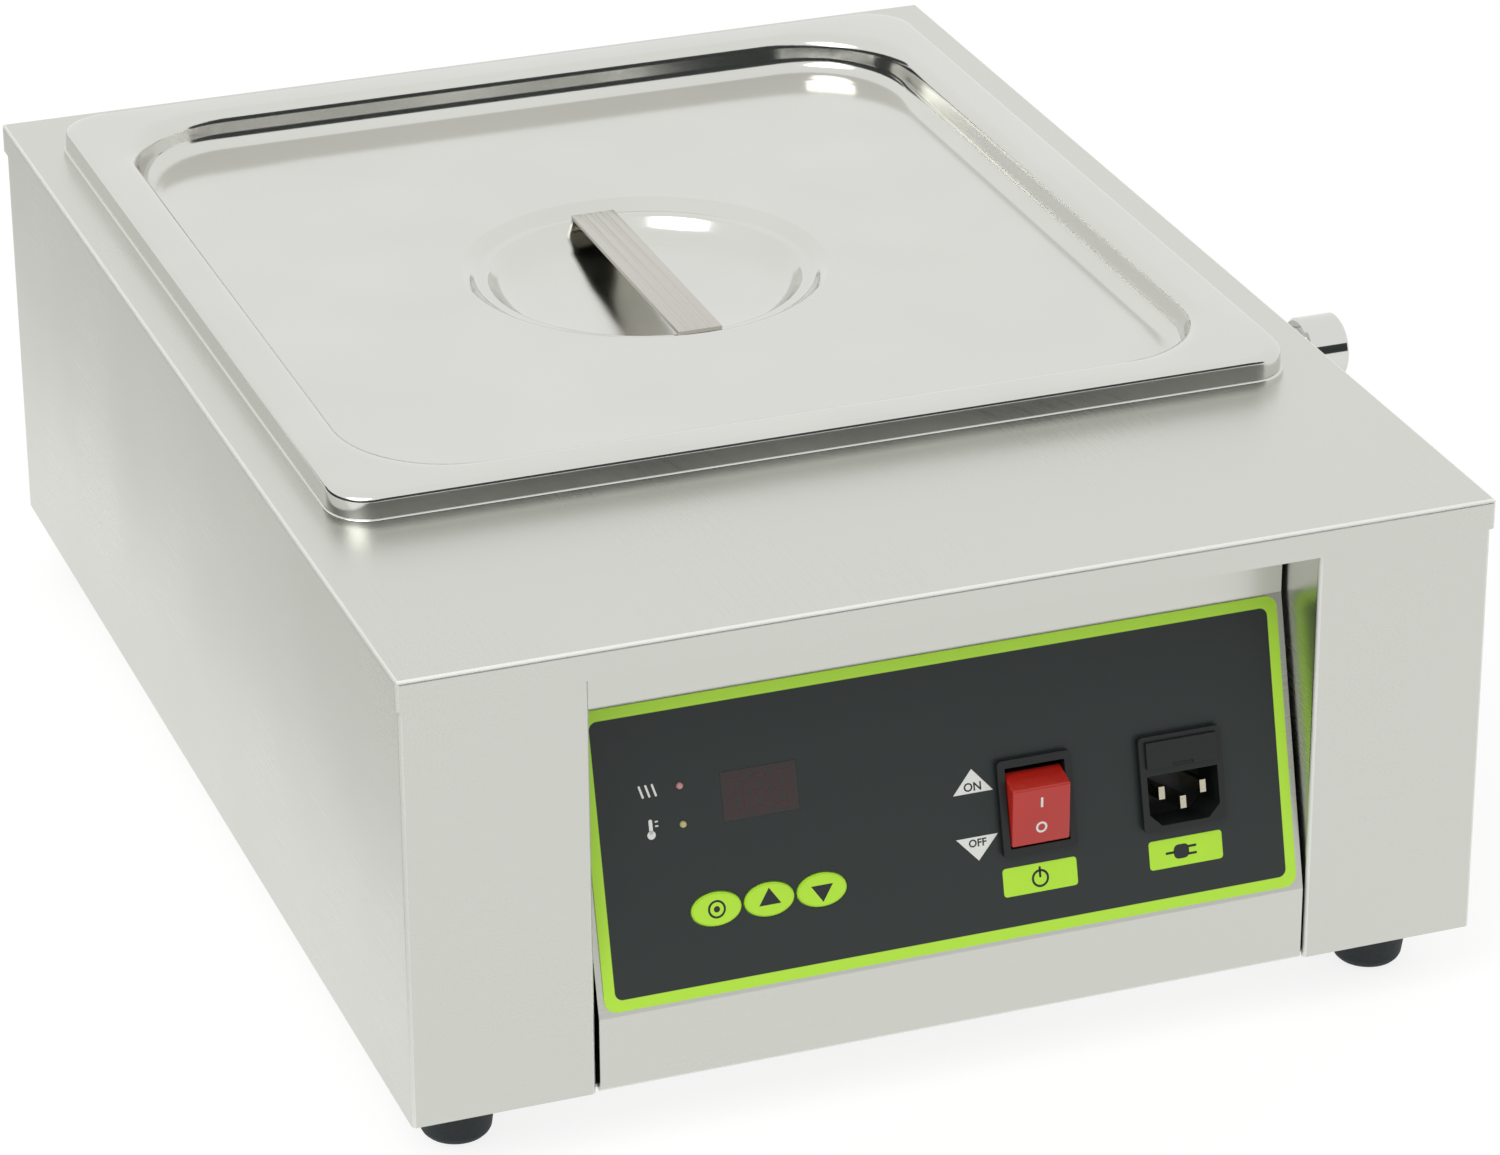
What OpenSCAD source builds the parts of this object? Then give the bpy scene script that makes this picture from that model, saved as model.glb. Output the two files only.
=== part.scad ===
// Countertop melting pot: a folded steel casing with a water bath, a lift-out food pan and its lid.
// Millimetres, +X right, +Y back, +Z up. The origin is on the table below the middle of the casing.

/* [Casing] */
// Width of the tray on each side of the pan, on average
side_zone = 16; // [14:0.1:30]
// Depth of the tray in front of the pan
front_zone = 104.7; // [100:0.1:130]
// Depth of the tray behind the pan
rear_zone = 25.3; // [24:0.1:40]
// Thickness of the folded steel sheet
sheet = 1; // [0.8:0.1:1.3]
// Outer radius of every fold in the casing
fold_r = 1.6; // [1.4:0.1:2.5]
// Depth of the tray's folded apron
apron_h = 10; // [6:0.5:16]
// Width of each flange beside the control panel
flange_w = 58.7; // [50:0.1:62]
// Depth of the return behind each front flange
return_d = 36; // [30:1:50]
// Width of the side panels' flanges at the back
lip_w = 18; // [14:1:22]
// Width of the side panels' lower lips inside the feet
sill_over = 2.2; // [1:0.1:6]

/* [Control panel] */
// Gap on each side of the control panel
panel_gap = 1.2; // [0.5:0.1:2]
// Height of the upright strip below the slope
kick_h = 25.3; // [20:0.1:32]
// Height of the sloping face
slope_h = 93.6; // [90:0.1:96]
// Distance that the sloping face leans back
slope_back = 23.9; // [15:0.1:30]
// Depth of the return under the panel
panel_lip = 16; // [12:1:20]

/* [Overlay] */
// Thickness of the film overlay
overlay_t = 0.5; // [0.3:0.1:0.6]
// Margin from the panel's side edge to the overlay
overlay_side = 2.1; // [1:0.1:4]
// Margin from the lower fold to the overlay
overlay_low = 1.6; // [1:0.1:3]
// Margin from the overlay to the upper fold
overlay_high = 0.6; // [0.3:0.1:3]
// Corner radius of the overlay
overlay_r = 4; // [2:0.5:6]
// Width of the display window
window_w = 24.6; // [20:0.1:28]
// Height of the display window
window_h = 15.6; // [13:0.1:18]
// Place up the slope of the display window's middle
window_v = 62.5; // [58:0.1:66]

/* [Keys and lamps] */
// Width of an oval key
key_w = 16.2; // [14:0.1:16.4]
// Height of an oval key
key_h = 10.6; // [8:0.1:12]
// Space between two keys
key_space = 1; // [0.9:0.1:3]
// Place up the slope of the keys
key_v = 28.3; // [24:0.1:32]
// Height of a key above the overlay
key_proud = 0.8; // [0.7:0.1:1.2]
// Travel of a key
key_travel = 0.6; // [0.3:0.1:0.7]
// Gap round a key
key_gap = 0.3; // [0.2:0.05:0.35]
// Radius of a lamp's lens
lamp_r = 1.1; // [0.8:0.1:1.4]
// Place up the slope of the lower lamp
lamp_v = 56.3; // [50:0.1:60]
// Spacing of the lamps
lamp_pitch = 12.1; // [8:0.1:14]

/* [Rocker switch] */
// Width of the switch bezel
bezel_w = 24.9; // [22:0.1:28]
// Height of the switch bezel
bezel_h = 30.9; // [28:0.1:34]
// Height of the bezel above the overlay
bezel_t = 2; // [1.5:0.1:3]
// Wall of the switch housing on each side of the rocker
housing_wall = 0.95; // [0.8:0.05:1.6]
// Wall of the switch housing above and below the rocker
housing_end = 1.05; // [0.8:0.05:1.6]
// Lean of the rocker at rest, half its swing
rocker_lean = 14; // [8:1:14]
// Place up the slope of the switch
switch_v = 43.3; // [42:0.1:48]

/* [Mains inlet] */
// Wall of the inlet's body beside the socket
inlet_wall = 1.3; // [1:0.1:3]
// Web between the socket and the fuse drawer
drawer_web = 2.8; // [2:0.1:4]
// Height of the inlet's flange above the overlay
inlet_t = 2.2; // [1.5:0.1:3]
// Place up the slope of the inlet
inlet_v = 43; // [42:0.1:48]
// Width of the socket's cavity
cavity_w = 24; // [23:0.1:24.5]
// Height of the socket's cavity
cavity_h = 16.4; // [16:0.1:17]
// Depth of the socket's cavity
cavity_depth = 16; // [15:0.1:17]

/* [Pan and lid] */
// Width of the pan over its rim
pan_w = 325; // [310:1:325]
// Depth of the pan over its rim
pan_d = 354; // [340:1:354]
// Depth of the pan below the tray
pan_h = 100; // [65:1:102]
// Sideways rest of the pan in its opening
pan_x = -2.5; // [-3:0.1:3]
// Height of the pan's rim above the tray
rim_h = 2.2; // [1.5:0.1:3]
// Height of the lid's border above the pan's rim
lid_h = 7.5; // [6:0.1:10]
// Depth of the lid's recess
recess_h = 13; // [10:0.1:16]
// Width of the lid's flat border
border_w = 16; // [14:0.1:20]
// Radius of the round dish in the lid
dish_r = 60.4; // [57:0.1:66]
// Depth of the dish below the lid's recess
dish_h = 12; // [10:0.1:14]
// Width of the strap handle
strap_w = 15.6; // [12:0.1:20]
// Drop of the strap's top below the recess
strap_drop = 1.6; // [1:0.1:3]
// Thickness of the strap
strap_t = 1.5; // [1:0.1:2]

/* [Bath] */
// Width of the pan's rim that lies on the tray at each side
rest_x = 7.5; // [6:0.1:9]
// Width of the pan's rim that lies on the tray in front and behind
rest_y = 8; // [6:0.1:10]
// Corner radius of the bath
bath_r = 44; // [35:1:50]
// Depth of the water between the bath's floor and the pan
water_gap = 23.3; // [15:0.1:40]

/* [Side port] */
// Outer radius of the stub
stub_r = 8.5; // [7:0.1:9.5]
// Outer radius of the cap
cap_r = 11.4; // [11:0.1:14]
// Length of the cap's skirt beyond its thread
cap_skirt = 5; // [3:0.1:8]
// Distance of the port behind the bath's rounded corner
port_in = 11.3; // [11:0.1:40]
// Gap between the tray's apron and the stub
port_gap = 1; // [0.5:0.1:10]
// Reach of the capped port from the casing's side
port_reach = 27; // [24:0.1:34]
// Travel of the cap along its thread
cap_travel = 6; // [4:0.5:8]

/* [Feet] */
// Height of a foot
foot_h = 21; // [14:0.5:30]
// Radius of a foot at its top
foot_top_r = 13.8; // [12:0.1:16]
// Radius of a foot at its bottom
foot_low_r = 11.4; // [8:0.1:12]
// Radius of a foot's rounded lower edge
foot_edge_r = 4.2; // [1:0.1:5]
// Distance of a foot's middle from the tray's side
foot_in_x = 23; // [20:0.5:30]
// Distance of a foot's middle from the tray's front and back
foot_in_y = 29; // [24:0.5:40]

/* [Hidden] */
$fn = 48;

// Overrun of every cut
over = 1;
// Clearance of pieces that slip together
slip = 0.3;
// Radial clearance of a running fit
run_gap = 0.06;
// Points in a quarter turn of the pressed corners
corner_steps = 8;
// Points in a quarter turn of a folded edge
fold_steps = 5;

// Bath and casing round the pan, the heater's studs and the mat under them
heater_t = 5;
bar_t = 3;
nut_h = 4;
stud_over = 3;
stud_len = heater_t + bar_t + nut_h + stud_over;
mat_t = 8;
mat_gap = 2;
bath_w = pan_w - 2 * rest_x;
bath_d = pan_d - 2 * rest_y;
bath_floor = sheet + mat_t + mat_gap + stud_len;
tray_w = pan_w + 2 * side_zone;
tray_d = pan_d + front_zone + rear_zone;
case_h = pan_h + water_gap + bath_floor + 2 * sheet;
pan_y = (front_zone - rear_zone) / 2;

// Places in the casing
z0 = foot_h;
zt = z0 + case_h;
body_w = tray_w - 2 * sheet;
body_d = tray_d - 2 * sheet;
wall_h = case_h - fold_r;
flange_x = body_w / 2 - flange_w;
panel_w = 2 * (flange_x - panel_gap);
front_y = -body_d / 2;
tilt = atan(slope_back / slope_h);
floor_z = z0 + sheet;

// Places in the bath
tank_top = zt - sheet;
tank_z = floor_z + bath_floor;
tank_flange = 9;
tank_x = bath_w / 2 + sheet;
tank_front = pan_y - bath_d / 2 - sheet;

// Places across the control panel, as shares of its width
window_share = -0.2543;
key_share = -0.2555;
lamp_share = -0.3622;
switch_share = 0.125;
inlet_share = 0.33333;
window_u = window_share * panel_w;
key_u = key_share * panel_w;
lamp_u = lamp_share * panel_w;
switch_u = switch_share * panel_w;
inlet_u = inlet_share * panel_w;
overlay_len = norm([slope_h, slope_back]) - overlay_low - overlay_high;

// Rows of vent slots
vent_w = 3;
vent_len = 46;
vent_pitch = 9;
vent_rows = 9;

// Feet and screws
foot_x = tray_w / 2 - foot_in_x;
foot_y = tray_d / 2 - foot_in_y;
foot_bore_h = 9;
screw_r = 2.5;
small_r = 1.5;
small_len = 5;
head_r = 4.6;
head_h = 2.2;
dome_share = 1.3;
sill_w = body_w / 2 - foot_x + foot_top_r + sill_over;
base_screw_in = 12;
base_screw_end = 91;
base_screw_x = body_w / 2 - base_screw_in;
base_screw_y = body_d / 2 - base_screw_end;
lip_screw_in = 27.6;
lip_screw_x = panel_w / 2 - lip_screw_in;
rear_screw_shares = [0.14, 0.5, 0.86];
vent_in = 60;

// Control board and what is on it
board_w = 74;
board_h = 66;
board_shift = 1.9;
board_rise = 19.7;
board_u = key_u - board_shift;
board_v = key_v + board_rise;
board_t = 1.6;
board_top = -9.3;
post_in = 4;
post_r = 2.5;
// Place across, place up, width and height of each component, as shares of the board
part_shares = [[-0.25, 0.22, 0.34, 0.3], [0.22, 0.24, 0.3, 0.26], [0, -0.3, 0.6, 0.12]];
part_hs = [16, 14, 8];

// Keys
key_pitch = key_w + key_space;
key_catch = 1.1;
key_catch_t = 0.8;
key_edge = 0.4;
switch_h = 4.5;
stem_r = 1.7;
stem_in = 1.5;

// Rocker switch
bezel_step = 1.5;
rocker_w = bezel_w - 2 * (bezel_step + housing_wall + slip);
rocker_reach = bezel_h / 2 - bezel_step - housing_end - slip;
rocker_share = 0.77;
rocker_len = 2 * rocker_reach * rocker_share;
rocker_axis = -6.6;
rocker_face = 12.2;
rocker_side_h = 9;
rocker_pin_r = 1.5;
well_drop = 5.4;
switch_depth = 18;
blade_gap = 12;
blade_w = 6.3;
blade_t = 0.8;
blade_len = 8;

// Inlet and fuse drawer
inlet_step = 0.8;
inlet_back = 4;
inlet_depth = cavity_depth + inlet_back;
cavity_cut = 4;
wall_t = 1.2;
fuse_r = 2.6;
fuse_len = 20;
fuse_head = 0.7;
drawer_wall = 1;
drawer_w = fuse_len + 2 * drawer_wall;
drawer_h = wall_t + slip + 2 * fuse_r + fuse_head;
drawer_gap = 0.15;
drawer_face = 1;
drawer_depth = 16;
inlet_w = cavity_w + 2 * (inlet_step + inlet_wall);
inlet_h = 4 * inlet_step + cavity_h + drawer_web + 2 * drawer_gap + drawer_h + drawer_face / 2;
cavity_v = -inlet_h / 2 + 2 * inlet_step + cavity_h / 2;
drawer_v = inlet_h / 2 - 2 * inlet_step - drawer_gap - drawer_h / 2 - drawer_face / 2;
pin_w = 2;
pin_h = 4;
pin_pitch = 7;
pin_drop = 2;
pin_back = 1;

// Under and in front of the bath
heater_in_x = 45;
heater_in_y = 44;
heater_w = bath_w - 2 * heater_in_x;
heater_d = bath_d - 2 * heater_in_y;
stud_gap = 12;
stud_share = 0.32;
stud_x = heater_w / 2 + stud_gap;
stud_y = stud_share * heater_d;
bar_w = 22;
mat_over = 25;
mat_w = heater_w + 2 * mat_over;
mat_d = heater_d + 2 * mat_over;
gland_r = 5;
gland_head = 6;
gland_gap = 1;
probe_r = 3;
probe_x = -60;
probe_z = tank_z + sheet + 2 * gland_r + gland_gap;
probe_tail = 16;
probe_reach = 50;
cutout_x = 20;
cutout_up = 70;
cutout_z = tank_z + cutout_up;
cutout_r = 8;
cutout_h = 9;
block_x = 60;
block_in = 70;
block_y = front_y + block_in;
block_ways = 6;
block_pitch = 9;
block_d = 20;
block_h = 14;
earth_x = 110;
earth_in = 60;
earth_y = front_y + earth_in;
wire_r = 1.3;
thin_r = 0.9;
wire_run = 16;
// Room between a leaning tab's end and its wire
tab_gap = wire_r * sin(tilt) + run_gap;

// Port
port_drop = apron_h + port_gap + stub_r;
port_y = pan_y - bath_d / 2 + bath_r + port_in;
port_z = zt - port_drop;
cap_end = 2;
washer_t = 1.5;
cap_edge = 0.8;
cap_len = cap_end + washer_t + cap_travel + cap_skirt;
stub_wall = 2;
collar_w = 3;
stub_end = body_w / 2 + port_reach - cap_end - washer_t;
grommet_r = stub_r + 2.4;
grommet_t = 1.6;

// Pan
pan_r = 15;
pan_in_r = 40;
pan_t = 0.9;
pan_rim = 14.5;
rim_edge = 0.8;
pan_taper = 9;
pan_fillet = 9;

// Lid
lid_inset = 0.75;
lid_t = 0.8;
lid_edge = 2.2;
recess_r = 40;
wall_lean = 1.2;
groove_t = 0.4;
strap_slack = 1.5;
// Share of a rounded edge's radius that its middle stands in from the corner
arc_share = 0.293;
// Dish: its lip falls to a shelf for the strap, and its bowl falls from the shelf to the floor
shelf_h = strap_drop + strap_t;
lip_in = 3.2;
shelf_in = 6.6;
bowl_in = 20.4;
bowl_h = dish_h - shelf_h;
lip_shares = [[0, 0], [0.31, 0.29], [0.69, 0.87], [1, 1]];
bowl_shares = [[0, 0], [0.069, 0.09], [0.167, 0.438], [0.363, 0.775], [0.657, 0.955], [1, 1]];
// Distance in from the dish's edge, and depth, of each bend in the dish
dish_rows = concat([for (q = lip_shares) [q[0] * lip_in, q[1] * shelf_h]],
                   [for (q = bowl_shares) [shelf_in + q[0] * bowl_in, shelf_h + q[1] * bowl_h]]);

// Rounded rectangle about its middle
module round_rect(w, d, r) {
  square([w - 2 * r, d], center = true);
  square([w, d - 2 * r], center = true);
  for (x = [-1, 1], y = [-1, 1])
    translate([x * (w / 2 - r), y * (d / 2 - r)]) circle(r);
}

// Rectangle that stands on the X axis, with its two upper corners rounded
module dome_rect(w, h, r) {
  translate([-w / 2, 0]) square([w, h - r]);
  translate([-w / 2 + r, 0]) square([w - 2 * r, h]);
  for (x = [-1, 1]) translate([x * (w / 2 - r), h - r]) circle(r);
}

// Block with rounded upper edges and upright edges
module soft_block(w, d, h, r) {
  intersection() {
    rotate([90, 0, 0]) linear_extrude(d + 2 * over, center = true) dome_rect(w, h, r);
    rotate([90, 0, 90]) linear_extrude(w + 2 * over, center = true) dome_rect(d, h, r);
    linear_extrude(h) round_rect(w, d, r);
  }
}

// Outline of a sheet of even thickness, folded along a path with round corners
function unit(v) = v / norm(v);
function left(v) = [-v[1], v[0]];
function spun(v, a) = [v[0] * cos(a) - v[1] * sin(a), v[0] * sin(a) + v[1] * cos(a)];
function turn(a, b) = atan2(a[0] * b[1] - a[1] * b[0], a * b);
function bend(p, a, b, r, s) =
  let (t = turn(a, b), g = sign(t), c = p - a * r * tan(abs(t) / 2) + left(a) * g * r)
  [for (k = [0:fold_steps]) c - spun(left(a) * g, t * k / fold_steps) * (r - g * s)];
function one_side(path, r, s) =
  let (n = len(path) - 1)
  concat([path[0] + left(unit(path[1] - path[0])) * s],
         [for (i = [1:1:n - 1])
           each bend(path[i], unit(path[i] - path[i - 1]), unit(path[i + 1] - path[i]), r, s)],
         [path[n] + left(unit(path[n] - path[n - 1])) * s]);
function back_to_front(list) = [for (i = [len(list) - 1:-1:0]) list[i]];
module folded(path, t, r) {
  polygon(concat(one_side(path, r - t / 2, t / 2), back_to_front(one_side(path, r - t / 2, -t / 2))));
}

// Ring of points round a rectangle with round corners
function ring(w, d, r, z) =
  let (h = 45 / corner_steps, c = r / cos(h))
  [for (q = [0:3], k = [0:corner_steps - 1])
    let (a = q * 90 + (2 * k + 1) * h, x = (q == 0 || q == 3) ? 1 : -1, y = (q < 2) ? 1 : -1)
    [x * (w - r) + c * cos(a), y * (d - r) + c * sin(a), z]];
function joined_rings(i, n) =
  [for (k = [0:n - 1]) let (a = i * n + k, b = i * n + (k + 1) % n) each [[a, a + n, b], [b, a + n, b + n]]];
function row_way(rows, i) =
  let (a = rows[max(i - 1, 0)], b = rows[min(i + 1, len(rows) - 1)]) unit([a[0] - b[0], b[2] - a[2]]);
function under_row(row, v, t) =
  [row[0] - left(v)[0] * -t, row[1] - left(v)[0] * -t, row[2] + left(v)[1] * -t, row[3] - left(v)[0] * -t];

// Pressed sheet, from its outer edge to its middle: half width, half depth, height and corner radius a row
module pressed(rows, t) {
  under = [for (i = [len(rows) - 1:-1:0]) under_row(rows[i], row_way(rows, i), t)];
  all_rows = concat(rows, under);
  n = 4 * corner_steps;
  last = len(rows) - 1;
  end = (len(all_rows) - 1) * n;
  points = [for (q = all_rows) each ring(q[0], q[1], q[3], q[2])];
  walls = [for (i = [0:len(all_rows) - 2]) if (i != last) each joined_rings(i, n)];
  rim = [for (k = [0:n - 1]) let (a = end + k, b = end + (k + 1) % n) each [[a, k, b], [b, k, (k + 1) % n]]];
  caps = [[for (k = [n - 1:-1:0]) last * n + k], [for (k = [0:n - 1]) (last + 1) * n + k]];
  polyhedron(points, concat(walls, rim, caps), convexity = 6);
}

// Places on the sloping face: across, up the slope, and out of it
module on_slope(u = 0, v = 0, w = 0) {
  translate([0, front_y, z0 + kick_h]) rotate([90 - tilt, 0, 0]) translate([u, v, w]) children();
}

// Ellipse of a given width and height
module oval(w, h) { polygon([for (a = [0:360 / $fn:359]) [w / 2 * cos(a), h / 2 * sin(a)]]); }

// Row of slots with round ends
module slots(rows, len, w, pitch) {
  for (k = [0:rows - 1]) translate([(k - (rows - 1) / 2) * pitch, 0]) {
    square([w, len - w], center = true);
    for (y = [-1, 1]) translate([0, y * (len - w) / 2]) circle(w / 2);
  }
}

module top_tray() {
  color("gainsboro") difference() {
    translate([0, 0, zt - apron_h]) soft_block(tray_w, tray_d, apron_h, fold_r);
    translate([0, 0, zt - apron_h - sheet]) soft_block(body_w, body_d, apron_h, fold_r - sheet);
    translate([0, pan_y, zt - apron_h]) linear_extrude(apron_h + over) round_rect(bath_w, bath_d, bath_r);
  }
}

// Plan of the right side panel, from its front return round to its flange at the back
module side_panel() {
  x = body_w / 2 - sheet / 2;
  path = [[flange_x + sheet / 2, front_y + return_d], [flange_x + sheet / 2, front_y + sheet / 2],
          [x, front_y + sheet / 2], [x, body_d / 2 - sheet / 2],
          [body_w / 2 - lip_w, body_d / 2 - sheet / 2]];
  difference() {
    union() {
      translate([0, 0, z0]) linear_extrude(wall_h) folded(path, sheet, fold_r);
      translate([body_w / 2 - sill_w, front_y + sheet / 2, z0])
        cube([sill_w - sheet / 2, body_d - sheet, sheet]);
    }
    translate([flange_x - over, front_y + 2 * sheet, z0 - over])
      cube([sheet + 2 * over, return_d, floor_z + sheet - z0 + over]);
    for (y = [-1, 1]) translate([foot_x, y * foot_y, z0 - over])
      cylinder(r = screw_r + slip, h = sheet + 2 * over);
    for (y = [-1, 0, 1]) translate([base_screw_x, y * base_screw_y, z0 - over])
      cylinder(r = small_r + run_gap, h = sheet + 2 * over);
    rear_screw_places() rotate([90, 0, 0]) cylinder(r = small_r + run_gap, h = 4 * sheet, center = true);
  }
}

module side_panel_right() {
  color("gainsboro") difference() {
    side_panel();
    translate([body_w / 2, port_y, port_z]) rotate([0, 90, 0])
      cylinder(r = grommet_r + run_gap, h = 4 * sheet, center = true);
  }
}

module side_panel_left() { color("gainsboro") mirror([1, 0, 0]) side_panel(); }

// Places of the screws in the right-hand half of the back
module rear_screw_places() {
  for (s = rear_screw_shares)
    translate([body_w / 2 - lip_w / 2 - sheet, body_d / 2, z0 + s * case_h]) children();
}

module rear_panel() {
  color("silver") difference() {
    translate([-body_w / 2 + fold_r, body_d / 2 - 2 * sheet, floor_z + sheet])
      cube([body_w - 2 * fold_r, sheet, wall_h - 2 * sheet]);
    translate([0, body_d / 2, z0 + case_h / 2]) rotate([90, 0, 0])
      linear_extrude(4 * sheet, center = true) slots(vent_rows, vent_len, vent_w, vent_pitch);
    for (x = [0, 1]) mirror([x, 0, 0]) rear_screw_places()
      rotate([90, 0, 0]) cylinder(r = small_r + run_gap, h = 6 * sheet, center = true);
  }
}

// Screw with a round head that looks along +Z, its head's seat at zero
module screw(r, head_r, head_h, len) {
  translate([0, 0, -len]) cylinder(r = r, h = len);
  intersection() {
    cylinder(r = head_r, h = head_h);
    translate([0, 0, head_h - dome_share * head_r]) sphere(dome_share * head_r);
  }
}

module rear_screws() {
  color("silver") for (x = [0, 1]) mirror([x, 0, 0]) rear_screw_places()
    rotate([-90, 0, 0]) screw(small_r, head_r, head_h, small_len);
}

module base_plate() {
  color("silver") difference() {
    translate([0, sheet / 2, floor_z]) linear_extrude(sheet) square(
      [body_w - 2 * (sheet + slip), body_d - 3 * sheet - 2 * slip], center = true);
    translate([0, front_y + vent_in, floor_z - over]) linear_extrude(sheet + 2 * over)
      slots(vent_rows, vent_len, vent_w, vent_pitch);
    for (x = [-1, 1], y = [-1, 1]) translate([x * foot_x, y * foot_y, floor_z - over])
      cylinder(r = screw_r + slip, h = sheet + 2 * over);
    base_screw_places() translate([0, 0, -over]) cylinder(r = small_r + run_gap, h = 4 * sheet);
    translate([earth_x, earth_y, floor_z - over]) cylinder(r = screw_r + run_gap, h = sheet + 2 * over);
  }
}

// Places of the screws under the base plate: six in the sills, two in the control panel's lip
module base_screw_places() {
  for (x = [-1, 1], y = [-1, 0, 1]) translate([x * base_screw_x, y * base_screw_y, z0]) children();
  for (x = [-1, 1]) translate([x * lip_screw_x, front_y + panel_lip / 2, z0]) children();
}

module base_screws() {
  color("silver") base_screw_places() rotate([180, 0, 0]) screw(small_r, head_r, head_h, small_len);
}

// Side view of the control panel
module control_panel() {
  drop = sheet / 2 * tan(tilt / 2);
  path = [[front_y + panel_lip, z0 + sheet / 2], [front_y + sheet / 2, z0 + sheet / 2],
          [front_y + sheet / 2, z0 + kick_h - drop],
          [front_y + slope_back + sheet / 2, z0 + kick_h + slope_h - drop],
          [front_y + slope_back + sheet / 2, zt - sheet]];
  color("gainsboro") difference() {
    rotate([90, 0, 90]) linear_extrude(panel_w, center = true) folded(path, sheet, fold_r);
    on_slope(window_u, window_v, -2 * sheet) linear_extrude(3 * sheet)
      square([window_w + 2 * slip, window_h + 2 * slip], center = true);
    on_slope(key_u, key_v, -2 * sheet) linear_extrude(3 * sheet)
      round_rect(2 * key_pitch + key_w + 4 * slip, key_h + 2 * (key_catch + slip), key_h / 2);
    for (k = [0, 1]) on_slope(lamp_u, lamp_v + k * lamp_pitch, -2 * sheet)
      cylinder(r = lamp_r + slip, h = 3 * sheet);
    on_slope(switch_u, switch_v, -2 * sheet) linear_extrude(3 * sheet)
      square([bezel_w - 2 * bezel_step + 2 * slip, bezel_h - 2 * bezel_step + 2 * slip], center = true);
    on_slope(inlet_u, inlet_v, -2 * sheet) linear_extrude(3 * sheet)
      square([inlet_w - 2 * inlet_step + 2 * slip, inlet_h - 2 * inlet_step + 2 * slip], center = true);
    for (x = [-1, 1]) translate([x * lip_screw_x, front_y + panel_lip / 2, z0 - over])
      cylinder(r = small_r + run_gap, h = sheet + 2 * over);
  }
}

module overlay() {
  color("darkslategray") difference() {
    on_slope(0, overlay_low + overlay_len / 2) linear_extrude(overlay_t)
      round_rect(panel_w - 2 * overlay_side, overlay_len, overlay_r);
    on_slope(window_u, window_v, -over) linear_extrude(overlay_t + 2 * over)
      square([window_w + 2 * run_gap, window_h + 2 * run_gap], center = true);
    for (k = [-1, 0, 1]) on_slope(key_u + k * key_pitch, key_v, -over) linear_extrude(overlay_t + 2 * over)
      oval(key_w + 2 * key_gap, key_h + 2 * key_gap);
    for (k = [0, 1]) on_slope(lamp_u, lamp_v + k * lamp_pitch, -over)
      cylinder(r = lamp_r + run_gap, h = overlay_t + 2 * over);
    on_slope(switch_u, switch_v, -over) linear_extrude(overlay_t + 2 * over)
      square([bezel_w - 2 * bezel_step + 2 * slip, bezel_h - 2 * bezel_step + 2 * slip], center = true);
    on_slope(inlet_u, inlet_v, -over) linear_extrude(overlay_t + 2 * over)
      square([inlet_w - 2 * inlet_step + 2 * slip, inlet_h - 2 * inlet_step + 2 * slip], center = true);
  }
}

module display_window() {
  color([0.3, 0.08, 0.08]) on_slope(window_u, window_v, -sheet) linear_extrude(sheet + overlay_t)
    square([window_w, window_h], center = true);
}

// Three digits' block behind the window
module display_module() {
  color("black") on_slope(window_u, window_v, board_top) linear_extrude(-board_top - sheet)
    square([window_w - 2 * slip, window_h - 2 * slip], center = true);
}

module post_places() {
  for (x = [-1, 1], y = [-1, 1])
    on_slope(board_u + x * (board_w / 2 - post_in), board_v + y * (board_h / 2 - post_in), 0) children();
}

module control_board() {
  color("darkgreen") difference() {
    on_slope(board_u, board_v, board_top - board_t) linear_extrude(board_t)
      square([board_w, board_h], center = true);
    post_places() translate([0, 0, board_top - board_t - over])
      cylinder(r = small_r + run_gap, h = board_t + 2 * over);
  }
}

// Transformer, relay and plug strip on the back of the board
module board_components() {
  for (k = [0:len(part_shares) - 1])
    color(k == 1 ? "royalblue" : "dimgray")
      on_slope(board_u + part_shares[k][0] * board_w, board_v + part_shares[k][1] * board_h,
               board_top - board_t - part_hs[k])
      linear_extrude(part_hs[k])
        square([part_shares[k][2] * board_w, part_shares[k][3] * board_h], center = true);
}

module board_posts() {
  color("silver") post_places() {
    translate([0, 0, board_top]) cylinder(r = post_r, h = -board_top - sheet);
    translate([0, 0, board_top - board_t - nut_h - over])
      cylinder(r = small_r, h = board_t + nut_h + over + sheet);
    translate([0, 0, board_top - board_t - nut_h]) nut(post_r + sheet / 2, small_r, nut_h);
  }
}

// Six-sided nut
module nut(r, bore, h) {
  difference() {
    cylinder(r = r, h = h, $fn = 6);
    translate([0, 0, -over]) cylinder(r = bore + run_gap, h = h + 2 * over);
  }
}

module lamp(v) {
  on_slope(lamp_u, v) {
    translate([0, 0, board_top]) cylinder(r = lamp_r + sheet / 2, h = -board_top - sheet - slip);
    translate([0, 0, board_top]) cylinder(r = lamp_r, h = overlay_t - board_top);
    translate([0, 0, overlay_t]) intersection() {
      sphere(lamp_r);
      cylinder(r = lamp_r, h = lamp_r);
    }
  }
}
module heat_lamp() { color("salmon") lamp(lamp_v + lamp_pitch); }
module thermal_lamp() { color("khaki") lamp(lamp_v); }

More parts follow.
